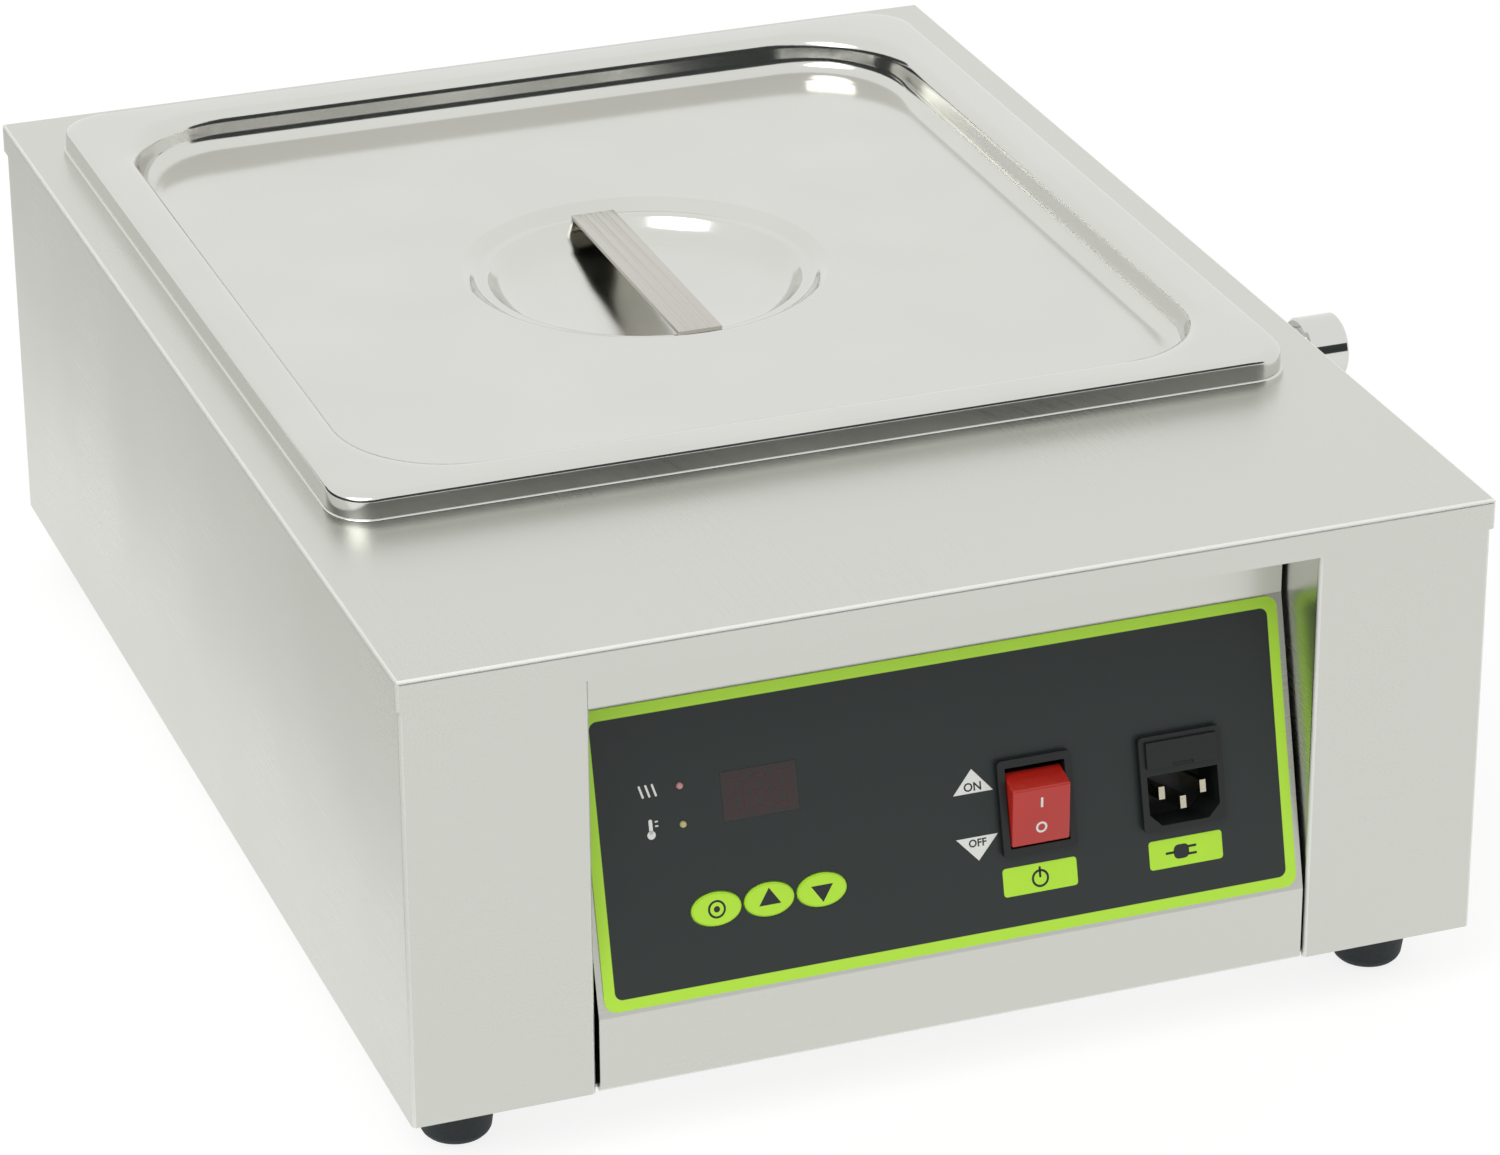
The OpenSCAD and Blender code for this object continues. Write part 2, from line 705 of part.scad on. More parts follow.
// Key with a catch behind the overlay and a stem that runs in its switch
module key(k) {
  on_slope(key_u + k * key_pitch, key_v) {
    translate([0, 0, -slip - key_catch_t]) linear_extrude(key_catch_t)
      oval(key_w + 2 * key_gap, key_h + 2 * key_catch);
    translate([0, 0, -slip - key_catch_t / 2])
      linear_extrude(slip + key_catch_t / 2 + overlay_t + key_proud - key_edge) oval(key_w, key_h);
    translate([0, 0, overlay_t]) linear_extrude(key_proud) oval(key_w - 2 * key_edge, key_h - 2 * key_edge);
    translate([0, 0, board_top + switch_h - stem_in])
      cylinder(r = stem_r, h = stem_in - board_top - switch_h - slip);
  }
}
module set_key() { color("greenyellow") key(-1); }
module up_key() { color("greenyellow") key(0); }
module down_key() { color("greenyellow") key(1); }

module key_switches() {
  color("dimgray") for (k = [-1, 0, 1]) on_slope(key_u + k * key_pitch, key_v, board_top) difference() {
    linear_extrude(switch_h) square(4 * stem_r, center = true);
    translate([0, 0, switch_h - stem_in - key_travel - slip]) cylinder(r = stem_r + run_gap, h = switch_h);
  }
}

module switch_housing() {
  well = [rocker_w + 2 * slip, 2 * rocker_reach + 2 * slip];
  color([0.1, 0.1, 0.1]) on_slope(switch_u, switch_v) difference() {
    union() {
      translate([0, 0, overlay_t]) linear_extrude(bezel_t) round_rect(bezel_w, bezel_h, bezel_step);
      translate([0, 0, -switch_depth]) linear_extrude(switch_depth + overlay_t + bezel_t / 2)
        square([bezel_w - 2 * bezel_step, bezel_h - 2 * bezel_step], center = true);
    }
    translate([0, 0, rocker_axis - well_drop])
      linear_extrude(bezel_t + over - rocker_axis + well_drop + overlay_t) square(well, center = true);
    translate([0, 0, rocker_axis]) rotate([0, 90, 0])
      cylinder(r = rocker_pin_r + run_gap, h = bezel_w + 2 * over, center = true);
  }
}

// Rocker about its pin, leaning to off
module rocker() {
  low = rocker_face - rocker_side_h;
  pts = [[-rocker_len / 2, rocker_face], [rocker_len / 2, rocker_face], [rocker_reach - slip, low],
         [rocker_pin_r * 2, -rocker_pin_r * 1.6], [-rocker_pin_r * 2, -rocker_pin_r * 1.6],
         [-rocker_reach + slip, low]];
  color("firebrick") on_slope(switch_u, switch_v, rocker_axis) rotate([rocker_lean, 0, 0]) {
    rotate([90, 0, 90]) linear_extrude(rocker_w, center = true) polygon(pts);
    rotate([0, 90, 0]) cylinder(r = rocker_pin_r, h = bezel_w - 2 * bezel_step, center = true);
  }
}

module switch_blades() {
  color("silver") on_slope(switch_u, switch_v)
    for (x = [-1, 1], y = [-1, 1])
      translate([x * blade_gap / 2, y * blade_gap / 2, -switch_depth - blade_len])
        linear_extrude(blade_len) square([blade_w, blade_t], center = true);
}

// Outline of the socket's cavity, its two lower corners cut off
module cavity_outline() {
  x = cavity_w / 2;
  y = cavity_h / 2;
  polygon([[-x, y], [x, y], [x, -y + cavity_cut], [x - cavity_cut, -y],
           [-x + cavity_cut, -y], [-x, -y + cavity_cut]]);
}

module inlet_body() {
  color([0.1, 0.1, 0.1]) on_slope(inlet_u, inlet_v) difference() {
    union() {
      translate([0, 0, overlay_t]) linear_extrude(inlet_t) round_rect(inlet_w, inlet_h, inlet_step * 2);
      translate([0, 0, -inlet_depth]) linear_extrude(inlet_depth + overlay_t + inlet_t / 2)
        square([inlet_w - 2 * inlet_step, inlet_h - 2 * inlet_step], center = true);
    }
    translate([0, cavity_v, overlay_t + inlet_t - cavity_depth])
      linear_extrude(cavity_depth + over) cavity_outline();
    translate([0, drawer_v, -drawer_depth]) linear_extrude(drawer_depth + overlay_t + inlet_t + over)
      square([drawer_w + 2 * drawer_gap, drawer_h + 2 * drawer_gap], center = true);
    pin_places() translate([0, 0, -inlet_depth - over])
      linear_extrude(inlet_depth) square([pin_w, pin_h], center = true);
  }
}

// Places of the live, neutral and earth pins in the cavity
module pin_places() {
  for (x = [-1, 0, 1]) translate([x * pin_pitch, cavity_v + (x == 0 ? -pin_drop : pin_drop), 0]) children();
}

module inlet_pins() {
  color("silver") on_slope(inlet_u, inlet_v) pin_places()
    translate([0, 0, -inlet_depth - blade_len])
      linear_extrude(inlet_depth + blade_len + overlay_t + inlet_t - pin_back)
        square([pin_w, pin_h], center = true);
}

module fuse_drawer() {
  color([0.14, 0.14, 0.14]) on_slope(inlet_u, inlet_v) difference() {
    union() {
      translate([0, drawer_v, -drawer_depth + slip]) linear_extrude(drawer_depth - slip + overlay_t + inlet_t)
        square([drawer_w, drawer_h], center = true);
      translate([0, drawer_v, overlay_t + inlet_t]) linear_extrude(drawer_face) square(
        [drawer_w + 2 * drawer_face, drawer_h + drawer_face], center = true);
    }
    translate([0, drawer_v + wall_t, -drawer_depth + wall_t]) linear_extrude(2 * (2 * fuse_r + wall_t))
      square([fuse_len + 2 * run_gap, drawer_h], center = true);
    translate([0, drawer_v - drawer_h / 2, overlay_t + inlet_t + drawer_face]) rotate([0, 90, 0])
      cylinder(r = drawer_face / 2, h = drawer_w / 3, center = true);
  }
}

module fuses() {
  color("white") on_slope(inlet_u, inlet_v)
    for (k = [0, 1]) translate([0, drawer_v - drawer_h / 2 + wall_t + fuse_r + slip,
                                -drawer_depth + wall_t + fuse_r + slip + k * (2 * fuse_r + slip)])
      rotate([0, 90, 0]) cylinder(r = fuse_r, h = fuse_len, center = true);
}

// Bath with an outward flange, and four studs under its floor
module bath_tank() {
  color("silver") difference() {
    union() {
      translate([0, pan_y, tank_z]) linear_extrude(tank_top - tank_z) difference() {
        round_rect(bath_w + 2 * sheet, bath_d + 2 * sheet, bath_r + sheet);
        round_rect(bath_w, bath_d, bath_r);
      }
      translate([0, pan_y, tank_z]) linear_extrude(sheet) round_rect(bath_w + sheet, bath_d + sheet, bath_r);
      translate([0, pan_y, tank_top - sheet]) linear_extrude(sheet) difference() {
        round_rect(bath_w + 2 * tank_flange, bath_d + 2 * tank_flange, bath_r + tank_flange);
        round_rect(bath_w, bath_d, bath_r);
      }
      stud_places() translate([0, 0, -stud_len]) cylinder(r = screw_r, h = stud_len + sheet / 2);
    }
    translate([tank_x, port_y, port_z]) rotate([0, 90, 0])
      cylinder(r = stub_r + run_gap, h = 4 * sheet, center = true);
    translate([probe_x, tank_front, probe_z]) rotate([90, 0, 0])
      cylinder(r = gland_r + run_gap, h = 4 * sheet, center = true);
  }
}

// Places of the clamp studs under the bath's floor
module stud_places() {
  for (x = [-1, 1], y = [-1, 1]) translate([x * stud_x, pan_y + y * stud_y, tank_z]) children();
}

module plate_heater() {
  color("tan") {
    translate([0, pan_y, tank_z - heater_t]) linear_extrude(heater_t)
      round_rect(heater_w, heater_d, stud_len);
    for (x = [-1, 1])
      translate([x * blade_gap, pan_y - heater_d / 2 - (blade_len - over) / 2, tank_z - heater_t / 2])
        cube([blade_w, blade_len + over, blade_t], center = true);
  }
}

module clamp_bars() {
  color("silver") difference() {
    for (y = [-1, 1]) translate([0, pan_y + y * stud_y, tank_z - heater_t - bar_t / 2])
      cube([2 * stud_x + bar_w, bar_w, bar_t], center = true);
    stud_places() translate([0, 0, -stud_len]) cylinder(r = screw_r + run_gap, h = stud_len);
  }
}

module clamp_nuts() {
  color("silver") stud_places() translate([0, 0, -heater_t - bar_t - nut_h]) nut(2 * screw_r, screw_r, nut_h);
}

module insulation_mat() {
  color("wheat") translate([0, pan_y, floor_z + sheet]) linear_extrude(mat_t)
    round_rect(mat_w, mat_d, stud_len);
}

module bath_probe() {
  color("silver") translate([probe_x, tank_front - probe_tail, probe_z]) rotate([-90, 0, 0])
    cylinder(r = probe_r, h = probe_tail + probe_reach);
}

// Screwed gland and its nut on the inside of the bath's front wall
module probe_gland() {
  color("goldenrod") translate([probe_x, tank_front, probe_z]) rotate([90, 0, 0]) difference() {
    union() {
      cylinder(r = 2 * gland_r, h = gland_head, $fn = 6);
      translate([0, 0, -sheet - gland_head]) cylinder(r = gland_r, h = sheet + gland_head + over);
      translate([0, 0, -sheet - nut_h]) nut(2 * gland_r, gland_r, nut_h);
    }
    translate([0, 0, -2 * gland_head]) cylinder(r = probe_r + run_gap, h = 4 * gland_head);
  }
}

// Snap disc with a mounting strap and two blades on the bath's front wall
module overheat_cutout() {
  color("dimgray") translate([cutout_x, tank_front, cutout_z]) rotate([90, 0, 0]) {
    cylinder(r = cutout_r, h = cutout_h);
    linear_extrude(sheet) round_rect(3 * cutout_r, cutout_r, blade_t);
    for (x = [-1, 1]) translate([x * blade_gap / 2, 0, cutout_h + blade_len / 2 - over / 2])
      cube([blade_t, blade_w, blade_len + over], center = true);
  }
}

// Block with raised barriers between its ways
module terminal_block() {
  color("ivory") translate([block_x, block_y, floor_z + sheet]) {
    linear_extrude(block_h / 2) square([block_ways * block_pitch + wall_t, block_d], center = true);
    for (k = [0:block_ways]) translate([(k - block_ways / 2) * block_pitch, 0, 0])
      linear_extrude(block_h) square([wall_t, block_d], center = true);
    for (k = [1:block_ways]) translate([(k - block_ways / 2 - 1 / 2) * block_pitch, 0, 0])
      cylinder(r = block_pitch / 3, h = block_h / 2 + wall_t);
  }
}

module earth_stud() {
  color("goldenrod") translate([earth_x, earth_y, floor_z]) {
    translate([0, 0, -sheet]) cylinder(r = screw_r, h = stud_len);
    translate([0, 0, sheet]) nut(2 * screw_r, screw_r, nut_h);
  }
}

// Wire of even thickness through a list of places, its pieces lapped at the bends
module wire(path, r) {
  last = len(path) - 2;
  for (i = [0:last]) {
    way = path[i + 1] - path[i];
    before = i > 0 ? r : 0;
    after = i < last ? r : 0;
    translate(path[i]) rotate([0, acos(way[2] / norm(way)), atan2(way[1], way[0])])
      translate([0, 0, -before]) cylinder(r = r, h = norm(way) + before + after, $fn = 8);
  }
}
function slope_at(u, v, w) =
  [u, front_y + v * sin(tilt) - w * cos(tilt), z0 + kick_h + v * cos(tilt) + w * sin(tilt)];
function block_at(k) =
  [block_x + (k - block_ways / 2 - 1 / 2) * block_pitch, block_y, floor_z + sheet + block_h / 2 + wall_t];
function blade_at(x, y) =
  slope_at(switch_u + x * blade_gap / 2, switch_v + y * blade_gap / 2, -switch_depth - blade_len - tab_gap);
function pin_at(x) =
  slope_at(inlet_u + x * pin_pitch, inlet_v + cavity_v + (x == 0 ? -pin_drop : pin_drop),
           -inlet_depth - blade_len - tab_gap);
function lifted(p, z) = [p[0], p[1], p[2] + z];
function moved(p, y) = [p[0], p[1] + y, p[2]];

// Inlet to switch, switch to terminal block, and the inlet's earth to its stud
module mains_wires() {
  color("saddlebrown") {
    for (x = [-1, 1]) {
      run = wire_run * (3 - x) / 2;
      wire([pin_at(x), moved(pin_at(x), run), moved(blade_at(x, 1), run), blade_at(x, 1)], wire_r);
    }
    for (x = [-1, 1]) wire([blade_at(x, -1), moved(blade_at(x, -1), wire_run / 2),
                            lifted(block_at(x + 2), wire_run), block_at(x + 2)], wire_r);
    wire([pin_at(0), moved(pin_at(0), wire_run / 2),
          lifted([earth_x, earth_y, floor_z + stud_len], wire_run / 2),
          [earth_x, earth_y, floor_z + stud_len - sheet]], wire_r);
  }
}

// Terminal block to the heater's blades
module heater_wires() {
  color("firebrick") for (x = [-1, 1]) {
    end = [x * blade_gap, pan_y - heater_d / 2 - blade_len, tank_z - heater_t / 2];
    up = lifted(block_at(x + 5), wire_run / 2);
    wire([block_at(x + 5), up, moved(up, block_d), moved(end, -wire_run * (3 - x) / 4),
          end], wire_r);
  }
}

// Control board to the probe and to the overheat cut-out
module signal_wires() {
  color("dimgray") {
    plug = slope_at(board_u, board_v + part_shares[2][1] * board_h,
                    board_top - board_t - part_hs[2] - tab_gap);
    wire([plug, moved(plug, wire_run), [probe_x, tank_front - probe_tail - wire_run / 2, probe_z],
          [probe_x, tank_front - probe_tail, probe_z]], thin_r);
    for (x = [-1, 1]) {
      from = [plug[0] + x * (blade_gap / 2), plug[1], plug[2]];
      to = [cutout_x + x * blade_gap / 2, tank_front - cutout_h - blade_len, cutout_z];
      wire([from, moved(from, wire_run + blade_gap), moved(to, -wire_run / 2), to], thin_r);
    }
  }
}

// Everything along the port's axis is drawn upright about it and then laid along +X
module on_port(x = 0) { translate([x, port_y, port_z]) rotate([0, 90, 0]) children(); }

module port_stub() {
  color("silver") on_port(bath_w / 2) difference() {
    union() {
      cylinder(r = stub_r, h = stub_end - bath_w / 2);
      translate([0, 0, sheet]) cylinder(r = stub_r + collar_w, h = 2 * sheet);
    }
    translate([0, 0, -over]) cylinder(r = stub_r - stub_wall, h = stub_end - bath_w / 2 + 2 * over);
  }
}

// Rubber bush in the casing's side, with a flange behind it
module port_grommet() {
  color([0.15, 0.15, 0.15]) on_port(body_w / 2 - sheet) difference() {
    union() {
      translate([0, 0, -grommet_t]) cylinder(r = grommet_r + grommet_t, h = grommet_t);
      translate([0, 0, -grommet_t / 2]) cylinder(r = grommet_r, h = sheet + grommet_t / 2 - slip);
    }
    translate([0, 0, -2 * grommet_t]) cylinder(r = stub_r + run_gap, h = sheet + 4 * grommet_t);
  }
}

module port_washer() {
  color([0.15, 0.15, 0.15]) on_port(stub_end) difference() {
    cylinder(r = stub_r, h = washer_t);
    translate([0, 0, -over]) cylinder(r = stub_r - stub_wall, h = washer_t + 2 * over);
  }
}

module port_cap() {
  end = body_w / 2 + port_reach;
  color("silver") on_port(end - cap_len) difference() {
    rotate_extrude() polygon([[0, 0], [cap_r - cap_edge, 0], [cap_r, cap_edge], [cap_r, cap_len - cap_edge],
                              [cap_r - cap_edge, cap_len], [0, cap_len]]);
    translate([0, 0, -over]) cylinder(r = stub_r + run_gap, h = cap_len - cap_end + over);
  }
}

// Pan: its rolled rim lies on the tray, and its walls lean in towards the floor
module food_pan() {
  w = pan_w / 2;
  d = pan_d / 2;
  color("silver") translate([pan_x, pan_y, zt]) pressed([
    [w, d, 0, pan_r], [w, d, rim_h - rim_edge, pan_r],
    [w - rim_edge / 2, d - rim_edge / 2, rim_h - rim_edge / 4, pan_r],
    [w - rim_edge, d - rim_edge, rim_h, pan_r],
    [w - pan_rim + 2 * rim_edge, d - pan_rim + 2 * rim_edge, rim_h, pan_in_r],
    [w - pan_rim + rim_edge / 2, d - pan_rim + rim_edge / 2, rim_h - rim_edge / 2, pan_in_r],
    [w - pan_rim, d - pan_rim, rim_h - 2 * rim_edge, pan_in_r],
    [w - pan_rim - pan_taper, d - pan_rim - pan_taper, pan_fillet - pan_h, pan_in_r - pan_taper / 2],
    [w - pan_rim - pan_taper - pan_fillet / 3, d - pan_rim - pan_taper - pan_fillet / 3,
     pan_fillet / 3 - pan_h, pan_in_r - pan_taper / 2],
    [w - pan_rim - pan_taper - pan_fillet, d - pan_rim - pan_taper - pan_fillet,
     -pan_h, pan_in_r - pan_taper]], pan_t);
}

// Lid: a folded rim, a flat border, a recess with wide corners and a round dish with a shelf
module lid() {
  w = pan_w / 2 - lid_inset;
  d = pan_d / 2 - lid_inset;
  b = w - border_w;
  c = d - border_w;
  low = lid_h - recess_h;
  color("silver") translate([pan_x, pan_y, zt + rim_h]) pressed([
    [w, d, 0, pan_r], [w, d, lid_h - lid_edge, pan_r],
    [w - lid_edge * arc_share, d - lid_edge * arc_share, lid_h - lid_edge * arc_share, pan_r],
    [w - lid_edge, d - lid_edge, lid_h, pan_r],
    [b + 2 * lid_edge, c + 2 * lid_edge, lid_h, recess_r + 2 * lid_edge],
    [b + lid_edge / 2, c + lid_edge / 2, lid_h - lid_edge / 3, recess_r + lid_edge / 2],
    [b, c, lid_h - lid_edge, recess_r],
    [b - wall_lean, c - wall_lean, low + lid_edge * 2, recess_r - wall_lean],
    [b - wall_lean - lid_edge / 2, c - wall_lean - lid_edge / 2, low + lid_edge / 2, recess_r - wall_lean],
    [b - wall_lean - 2 * lid_edge, c - wall_lean - 2 * lid_edge, low, recess_r - wall_lean],
    for (q = dish_rows) [dish_r - q[0], dish_r - q[0], low - q[1], dish_r - q[0]]], lid_t);
}

// Strap across the dish, its ends on the shelf
module lid_handle() {
  top = zt + rim_h + lid_h - recess_h - strap_drop;
  color("silver") translate([pan_x, pan_y, top - strap_t]) rotate([90, 0, 0])
    linear_extrude(2 * (dish_r - lip_in - strap_slack), center = true) difference() {
      translate([-strap_w / 2, 0]) square([strap_w, strap_t]);
      for (x = [-1, 0, 1]) translate([x * strap_w / 4 - strap_w / 20, strap_t - groove_t])
        square([strap_w / 10, strap_t]);
    }
}

module foot_places() { for (x = [-1, 1], y = [-1, 1]) translate([x * foot_x, y * foot_y, 0]) children(); }

module feet() {
  r = foot_low_r;
  e = foot_edge_r;
  round_edge = [for (k = [0:fold_steps]) let (a = 90 * k / fold_steps) [r - e + e * sin(a), e - e * cos(a)]];
  color([0.15, 0.17, 0.18]) foot_places() rotate_extrude()
    polygon(concat([[head_r + slip, 0]], round_edge,
                   [[foot_top_r, foot_h], [screw_r + run_gap, foot_h], [screw_r + run_gap, foot_bore_h],
                    [head_r + slip, foot_bore_h]]));
}

module foot_screws() {
  color("silver") foot_places() translate([0, 0, foot_bore_h]) rotate([180, 0, 0])
    screw(screw_r, head_r, head_h, foot_h - foot_bore_h + 2 * sheet + nut_h + sheet);
}

module foot_nuts() {
  color("silver") foot_places() translate([0, 0, floor_z + sheet]) nut(2 * screw_r, screw_r, nut_h);
}

top_tray();
side_panel_left();
side_panel_right();
rear_panel();
base_plate();
control_panel();
rear_screws();
base_screws();
overlay();
display_window();
display_module();
control_board();
board_components();
board_posts();
heat_lamp();
thermal_lamp();
set_key();
up_key();
down_key();
key_switches();
switch_housing();
rocker();
switch_blades();
inlet_body();
inlet_pins();
fuse_drawer();
fuses();
bath_tank();
plate_heater();
clamp_bars();
clamp_nuts();
insulation_mat();
bath_probe();
probe_gland();
overheat_cutout();
terminal_block();
earth_stud();
mains_wires();
heater_wires();
signal_wires();
port_stub();
port_grommet();
port_washer();
port_cap();
food_pan();
lid();
lid_handle();
feet();
foot_screws();
foot_nuts();
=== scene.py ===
# %% [markdown]
# # Chocolate melting pot
# A folded stainless steel casing holds a water bath. A pressed food pan hangs in the bath by its rim and
# a pressed lid lies on the pan. The frame from the CAD model gives every place and size, so the first step
# loads it. Everything made here has to stay inside that box.

# %% Load the frame
import math

import bmesh
import bpy
from mathutils import Matrix, Vector


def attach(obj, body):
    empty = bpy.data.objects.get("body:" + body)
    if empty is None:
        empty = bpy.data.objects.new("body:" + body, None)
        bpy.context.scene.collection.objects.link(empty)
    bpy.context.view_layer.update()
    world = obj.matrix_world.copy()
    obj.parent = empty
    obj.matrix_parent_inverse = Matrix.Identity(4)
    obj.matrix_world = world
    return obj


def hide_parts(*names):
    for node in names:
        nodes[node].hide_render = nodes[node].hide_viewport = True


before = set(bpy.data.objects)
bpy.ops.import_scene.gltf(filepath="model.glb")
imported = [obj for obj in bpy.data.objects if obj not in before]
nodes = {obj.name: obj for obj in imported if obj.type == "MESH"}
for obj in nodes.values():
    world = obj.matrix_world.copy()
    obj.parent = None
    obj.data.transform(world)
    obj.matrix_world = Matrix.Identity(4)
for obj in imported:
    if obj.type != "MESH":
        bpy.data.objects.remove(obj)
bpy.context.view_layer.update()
MM = 0.001

# %% [markdown]
# ## Camera
# The photograph was taken with a long lens from the front left and above. Its place and turn were worked
# out from the casing's corners, so they are plain numbers here. The turn is an axis whose length is the
# angle, from the room to a view that looks along +Z with +Y down, as photographs are counted.

# %% Camera
PHOTO_TURN = Vector((1.9914, -0.3602, 0.2207))
CAMERA_PLACE = Vector((-590.65, -1659.89, 909.83)) * MM
SENSOR_WIDTH = 36
LENS = 136.18
FAR_LIMIT = 60
view_to_blender = Matrix.Diagonal((1, -1, -1))
room_to_photo = Matrix.Rotation(PHOTO_TURN.length, 3, PHOTO_TURN.normalized())
camera_data = bpy.data.cameras.new("camera")
camera_data.sensor_width = SENSOR_WIDTH
camera_data.lens = LENS
camera_data.clip_end = FAR_LIMIT
camera = bpy.data.objects.new("camera", camera_data)
bpy.context.scene.collection.objects.link(camera)
camera_turn = room_to_photo.transposed() @ view_to_blender
camera.matrix_world = Matrix.Translation(CAMERA_PLACE) @ camera_turn.to_4x4()
bpy.context.scene.camera = camera
print("camera looks along", [round(c, 3) for c in camera.matrix_world.to_3x3() @ Vector((0, 0, -1))])

# %% [markdown]
# ## Helpers for materials
# Colours are written as sRGB hex values, as a paint chart gives them, and one function turns them to the
# linear values that the renderer adds up. One more function adds a node with its settings and links, so
# that a material reads from top to bottom like a recipe.

# %% Helpers for materials
def srgb(code):
    """A hex colour as linear red, green, blue and alpha."""
    parts = [int(code[i:i + 2], 16) / 255 for i in (1, 3, 5)]
    return [c / 12.92 if c <= 0.04045 else ((c + 0.055) / 1.055) ** 2.4 for c in parts] + [1.0]


def material(name):
    made = bpy.data.materials.new(name)
    made.use_nodes = True
    made.node_tree.nodes.clear()
    return made


def add(owner, kind, values=None, links=None, **settings):
    """Adds a node to a material or world, with its settings, its sockets' values and what feeds them."""
    made = owner.node_tree.nodes.new("ShaderNode" + kind)
    for key, value in settings.items():
        setattr(made, key, value)
    for key, value in (values or {}).items():
        made.inputs[key].default_value = value
    for key, (source, output) in (links or {}).items():
        owner.node_tree.links.new(source.outputs[output], made.inputs[key])
    return made


def per_metre(mm):
    """The texture scale that makes one cell of a noise this many millimetres."""
    return 1 / (mm * MM)


NOISE_SPAN = (0.3, 0.7)
LINE_SPAN = (0.35, 0.65)
TWO_NOISES = (0.7, 1.3)


def spread_over(m, source, output, span, low, high):
    """A noise's usual span of values, stretched to run from low to high."""
    return add(m, "MapRange", {"From Min": span[0], "From Max": span[1], "To Min": low, "To Max": high},
               {"Value": (source, output)})


def toned(m, colour, source, output, span, darkest):
    """A colour that is a little darker where the noise is low."""
    tone = spread_over(m, source, output, span, darkest, 1.0)
    return add(m, "MixRGB", {"Fac": 1.0, "Color1": srgb(colour)}, {"Color2": (tone, "Result")},
               blend_type="MULTIPLY")


def surface(m, values, colour, roughness, normal):
    """Closes a material with the shader that takes its colour, roughness and relief."""
    shader = add(m, "BsdfPrincipled", values,
                 {"Base Color": colour, "Roughness": roughness, "Normal": normal})
    add(m, "OutputMaterial", links={"Surface": (shader, "BSDF")})
    return m


def paint(name, finish):
    """Gives a CAD node its material."""
    o = nodes[name]
    if not o.material_slots:
        o.data.materials.append(finish)
    for place in o.material_slots:
        place.material = finish


print("a 0.5 mm cell needs scale", per_metre(0.5))

# %% [markdown]
# ## Satin stainless steel
# The casing is folded from cold-rolled 304 sheet with a fine brushed finish. Brushing leaves grooves along
# one direction, so reflections smear across them. A noise that is stretched along the brushing varies both
# the roughness and a very small bump. Real grooves are some 0.1 mm apart, too fine to show from here, so
# they are drawn coarser. Where the sheet is folded round a corner, the brushing goes round with it. Along the
# fold the steel is made rougher and its colour is painted pale, a painted highlight that shows the fold as a
# light line. A second, wide noise stands for handling marks and the rolling's slow waves.

# %% Satin stainless steel
BRUSH_RUN = 60
HANDLING = 90
TURN_LIMIT = 0.7
FOLD_SPAN = (0.9, 0.96)
FOLD_MATT = 0.3


def stretched(m, place, along, groove):
    """Object coordinates whose noise cells are one groove wide and drawn out along an axis."""
    scale = [per_metre(groove)] * 3
    scale["XYZ".index(along)] = per_metre(BRUSH_RUN)
    return add(m, "Mapping", {"Scale": scale}, {"Vector": (place, "Object")})


def brushed_steel(name, colour, along, rough=0.3, spread=0.04, groove=0.5, depth=0.05):
    m = material(name)
    place = add(m, "TexCoord")
    facing = add(m, "VectorMath", links={0: (place, "Normal")}, operation="ABSOLUTE")
    axes = add(m, "SeparateXYZ", links={"Vector": (facing, "Vector")})
    turned = add(m, "Math", {1: TURN_LIMIT}, {0: (axes, along)}, operation="GREATER_THAN")
    wider = add(m, "Math", links={0: (axes, "X"), 1: (axes, "Y")}, operation="MAXIMUM")
    widest = add(m, "Math", links={0: (wider, "Value"), 1: (axes, "Z")}, operation="MAXIMUM")
    fold = spread_over(m, widest, "Value", FOLD_SPAN, 1.0, 0.0)
    straight = stretched(m, place, along, groove)
    crossing = stretched(m, place, "X" if along == "Y" else "Y", groove)
    grain = add(m, "MixRGB", links={"Fac": (turned, "Value"), "Color1": (straight, "Vector"),
                                    "Color2": (crossing, "Vector")})
    grooves = add(m, "TexNoise", {"Scale": 1.0, "Detail": 3.0, "Roughness": 0.6},
                  {"Vector": (grain, "Color")})
    marks = add(m, "TexNoise", {"Scale": per_metre(HANDLING), "Detail": 2.0}, {"Vector": (place, "Object")})
    both = add(m, "Math", links={0: (grooves, "Fac"), 1: (marks, "Fac")}, operation="ADD")
    roughness = spread_over(m, both, "Value", TWO_NOISES, rough - spread, rough + spread)
    shade = toned(m, colour, both, "Value", TWO_NOISES, 0.97)
    # Along each fold the colour is mixed towards pale grey: a painted highlight on the bend.
    painted_fold_highlight = add(m, "MixRGB", {"Color2": srgb("#EEEEEA")},
                 {"Fac": (fold, "Result"), "Color1": (shade, "Color")})
    matt = add(m, "Math", {1: FOLD_MATT}, {0: (fold, "Result"), 2: (roughness, "Result")},
               operation="MULTIPLY_ADD")
    bump = add(m, "Bump", {"Strength": depth, "Distance": 0.05 * MM}, {"Height": (grooves, "Fac")})
    return surface(m, {"Metallic": 1.0}, (painted_fold_highlight, "Color"), (matt, "Value"), (bump, "Normal"))


satin_across = brushed_steel("satin_304_steel_brushed_across", "#D2D3CC", "X")
satin_back = brushed_steel("satin_304_steel_brushed_front_to_back", "#D2D3CC", "Y")
mill_steel = brushed_steel("mill_finish_304_steel", "#BDBEBB", "Y", rough=0.38, groove=1.2)
print("steel finishes:", satin_across.name, satin_back.name, mill_steel.name)

# %% [markdown]
# ## Bright pressed steel
# The lid and the pan are pressed from bright annealed sheet, which mirrors the room. Pressing leaves the
# flats a little uneven in tone and wiping leaves fine hairlines, so the roughness is low and varies a
# little. Only the plated parts have a relief.

# %% Bright pressed steel
PRESS_WAVE = 45
HAIRLINE = 0.8
HAIRLINE_RUN = 160


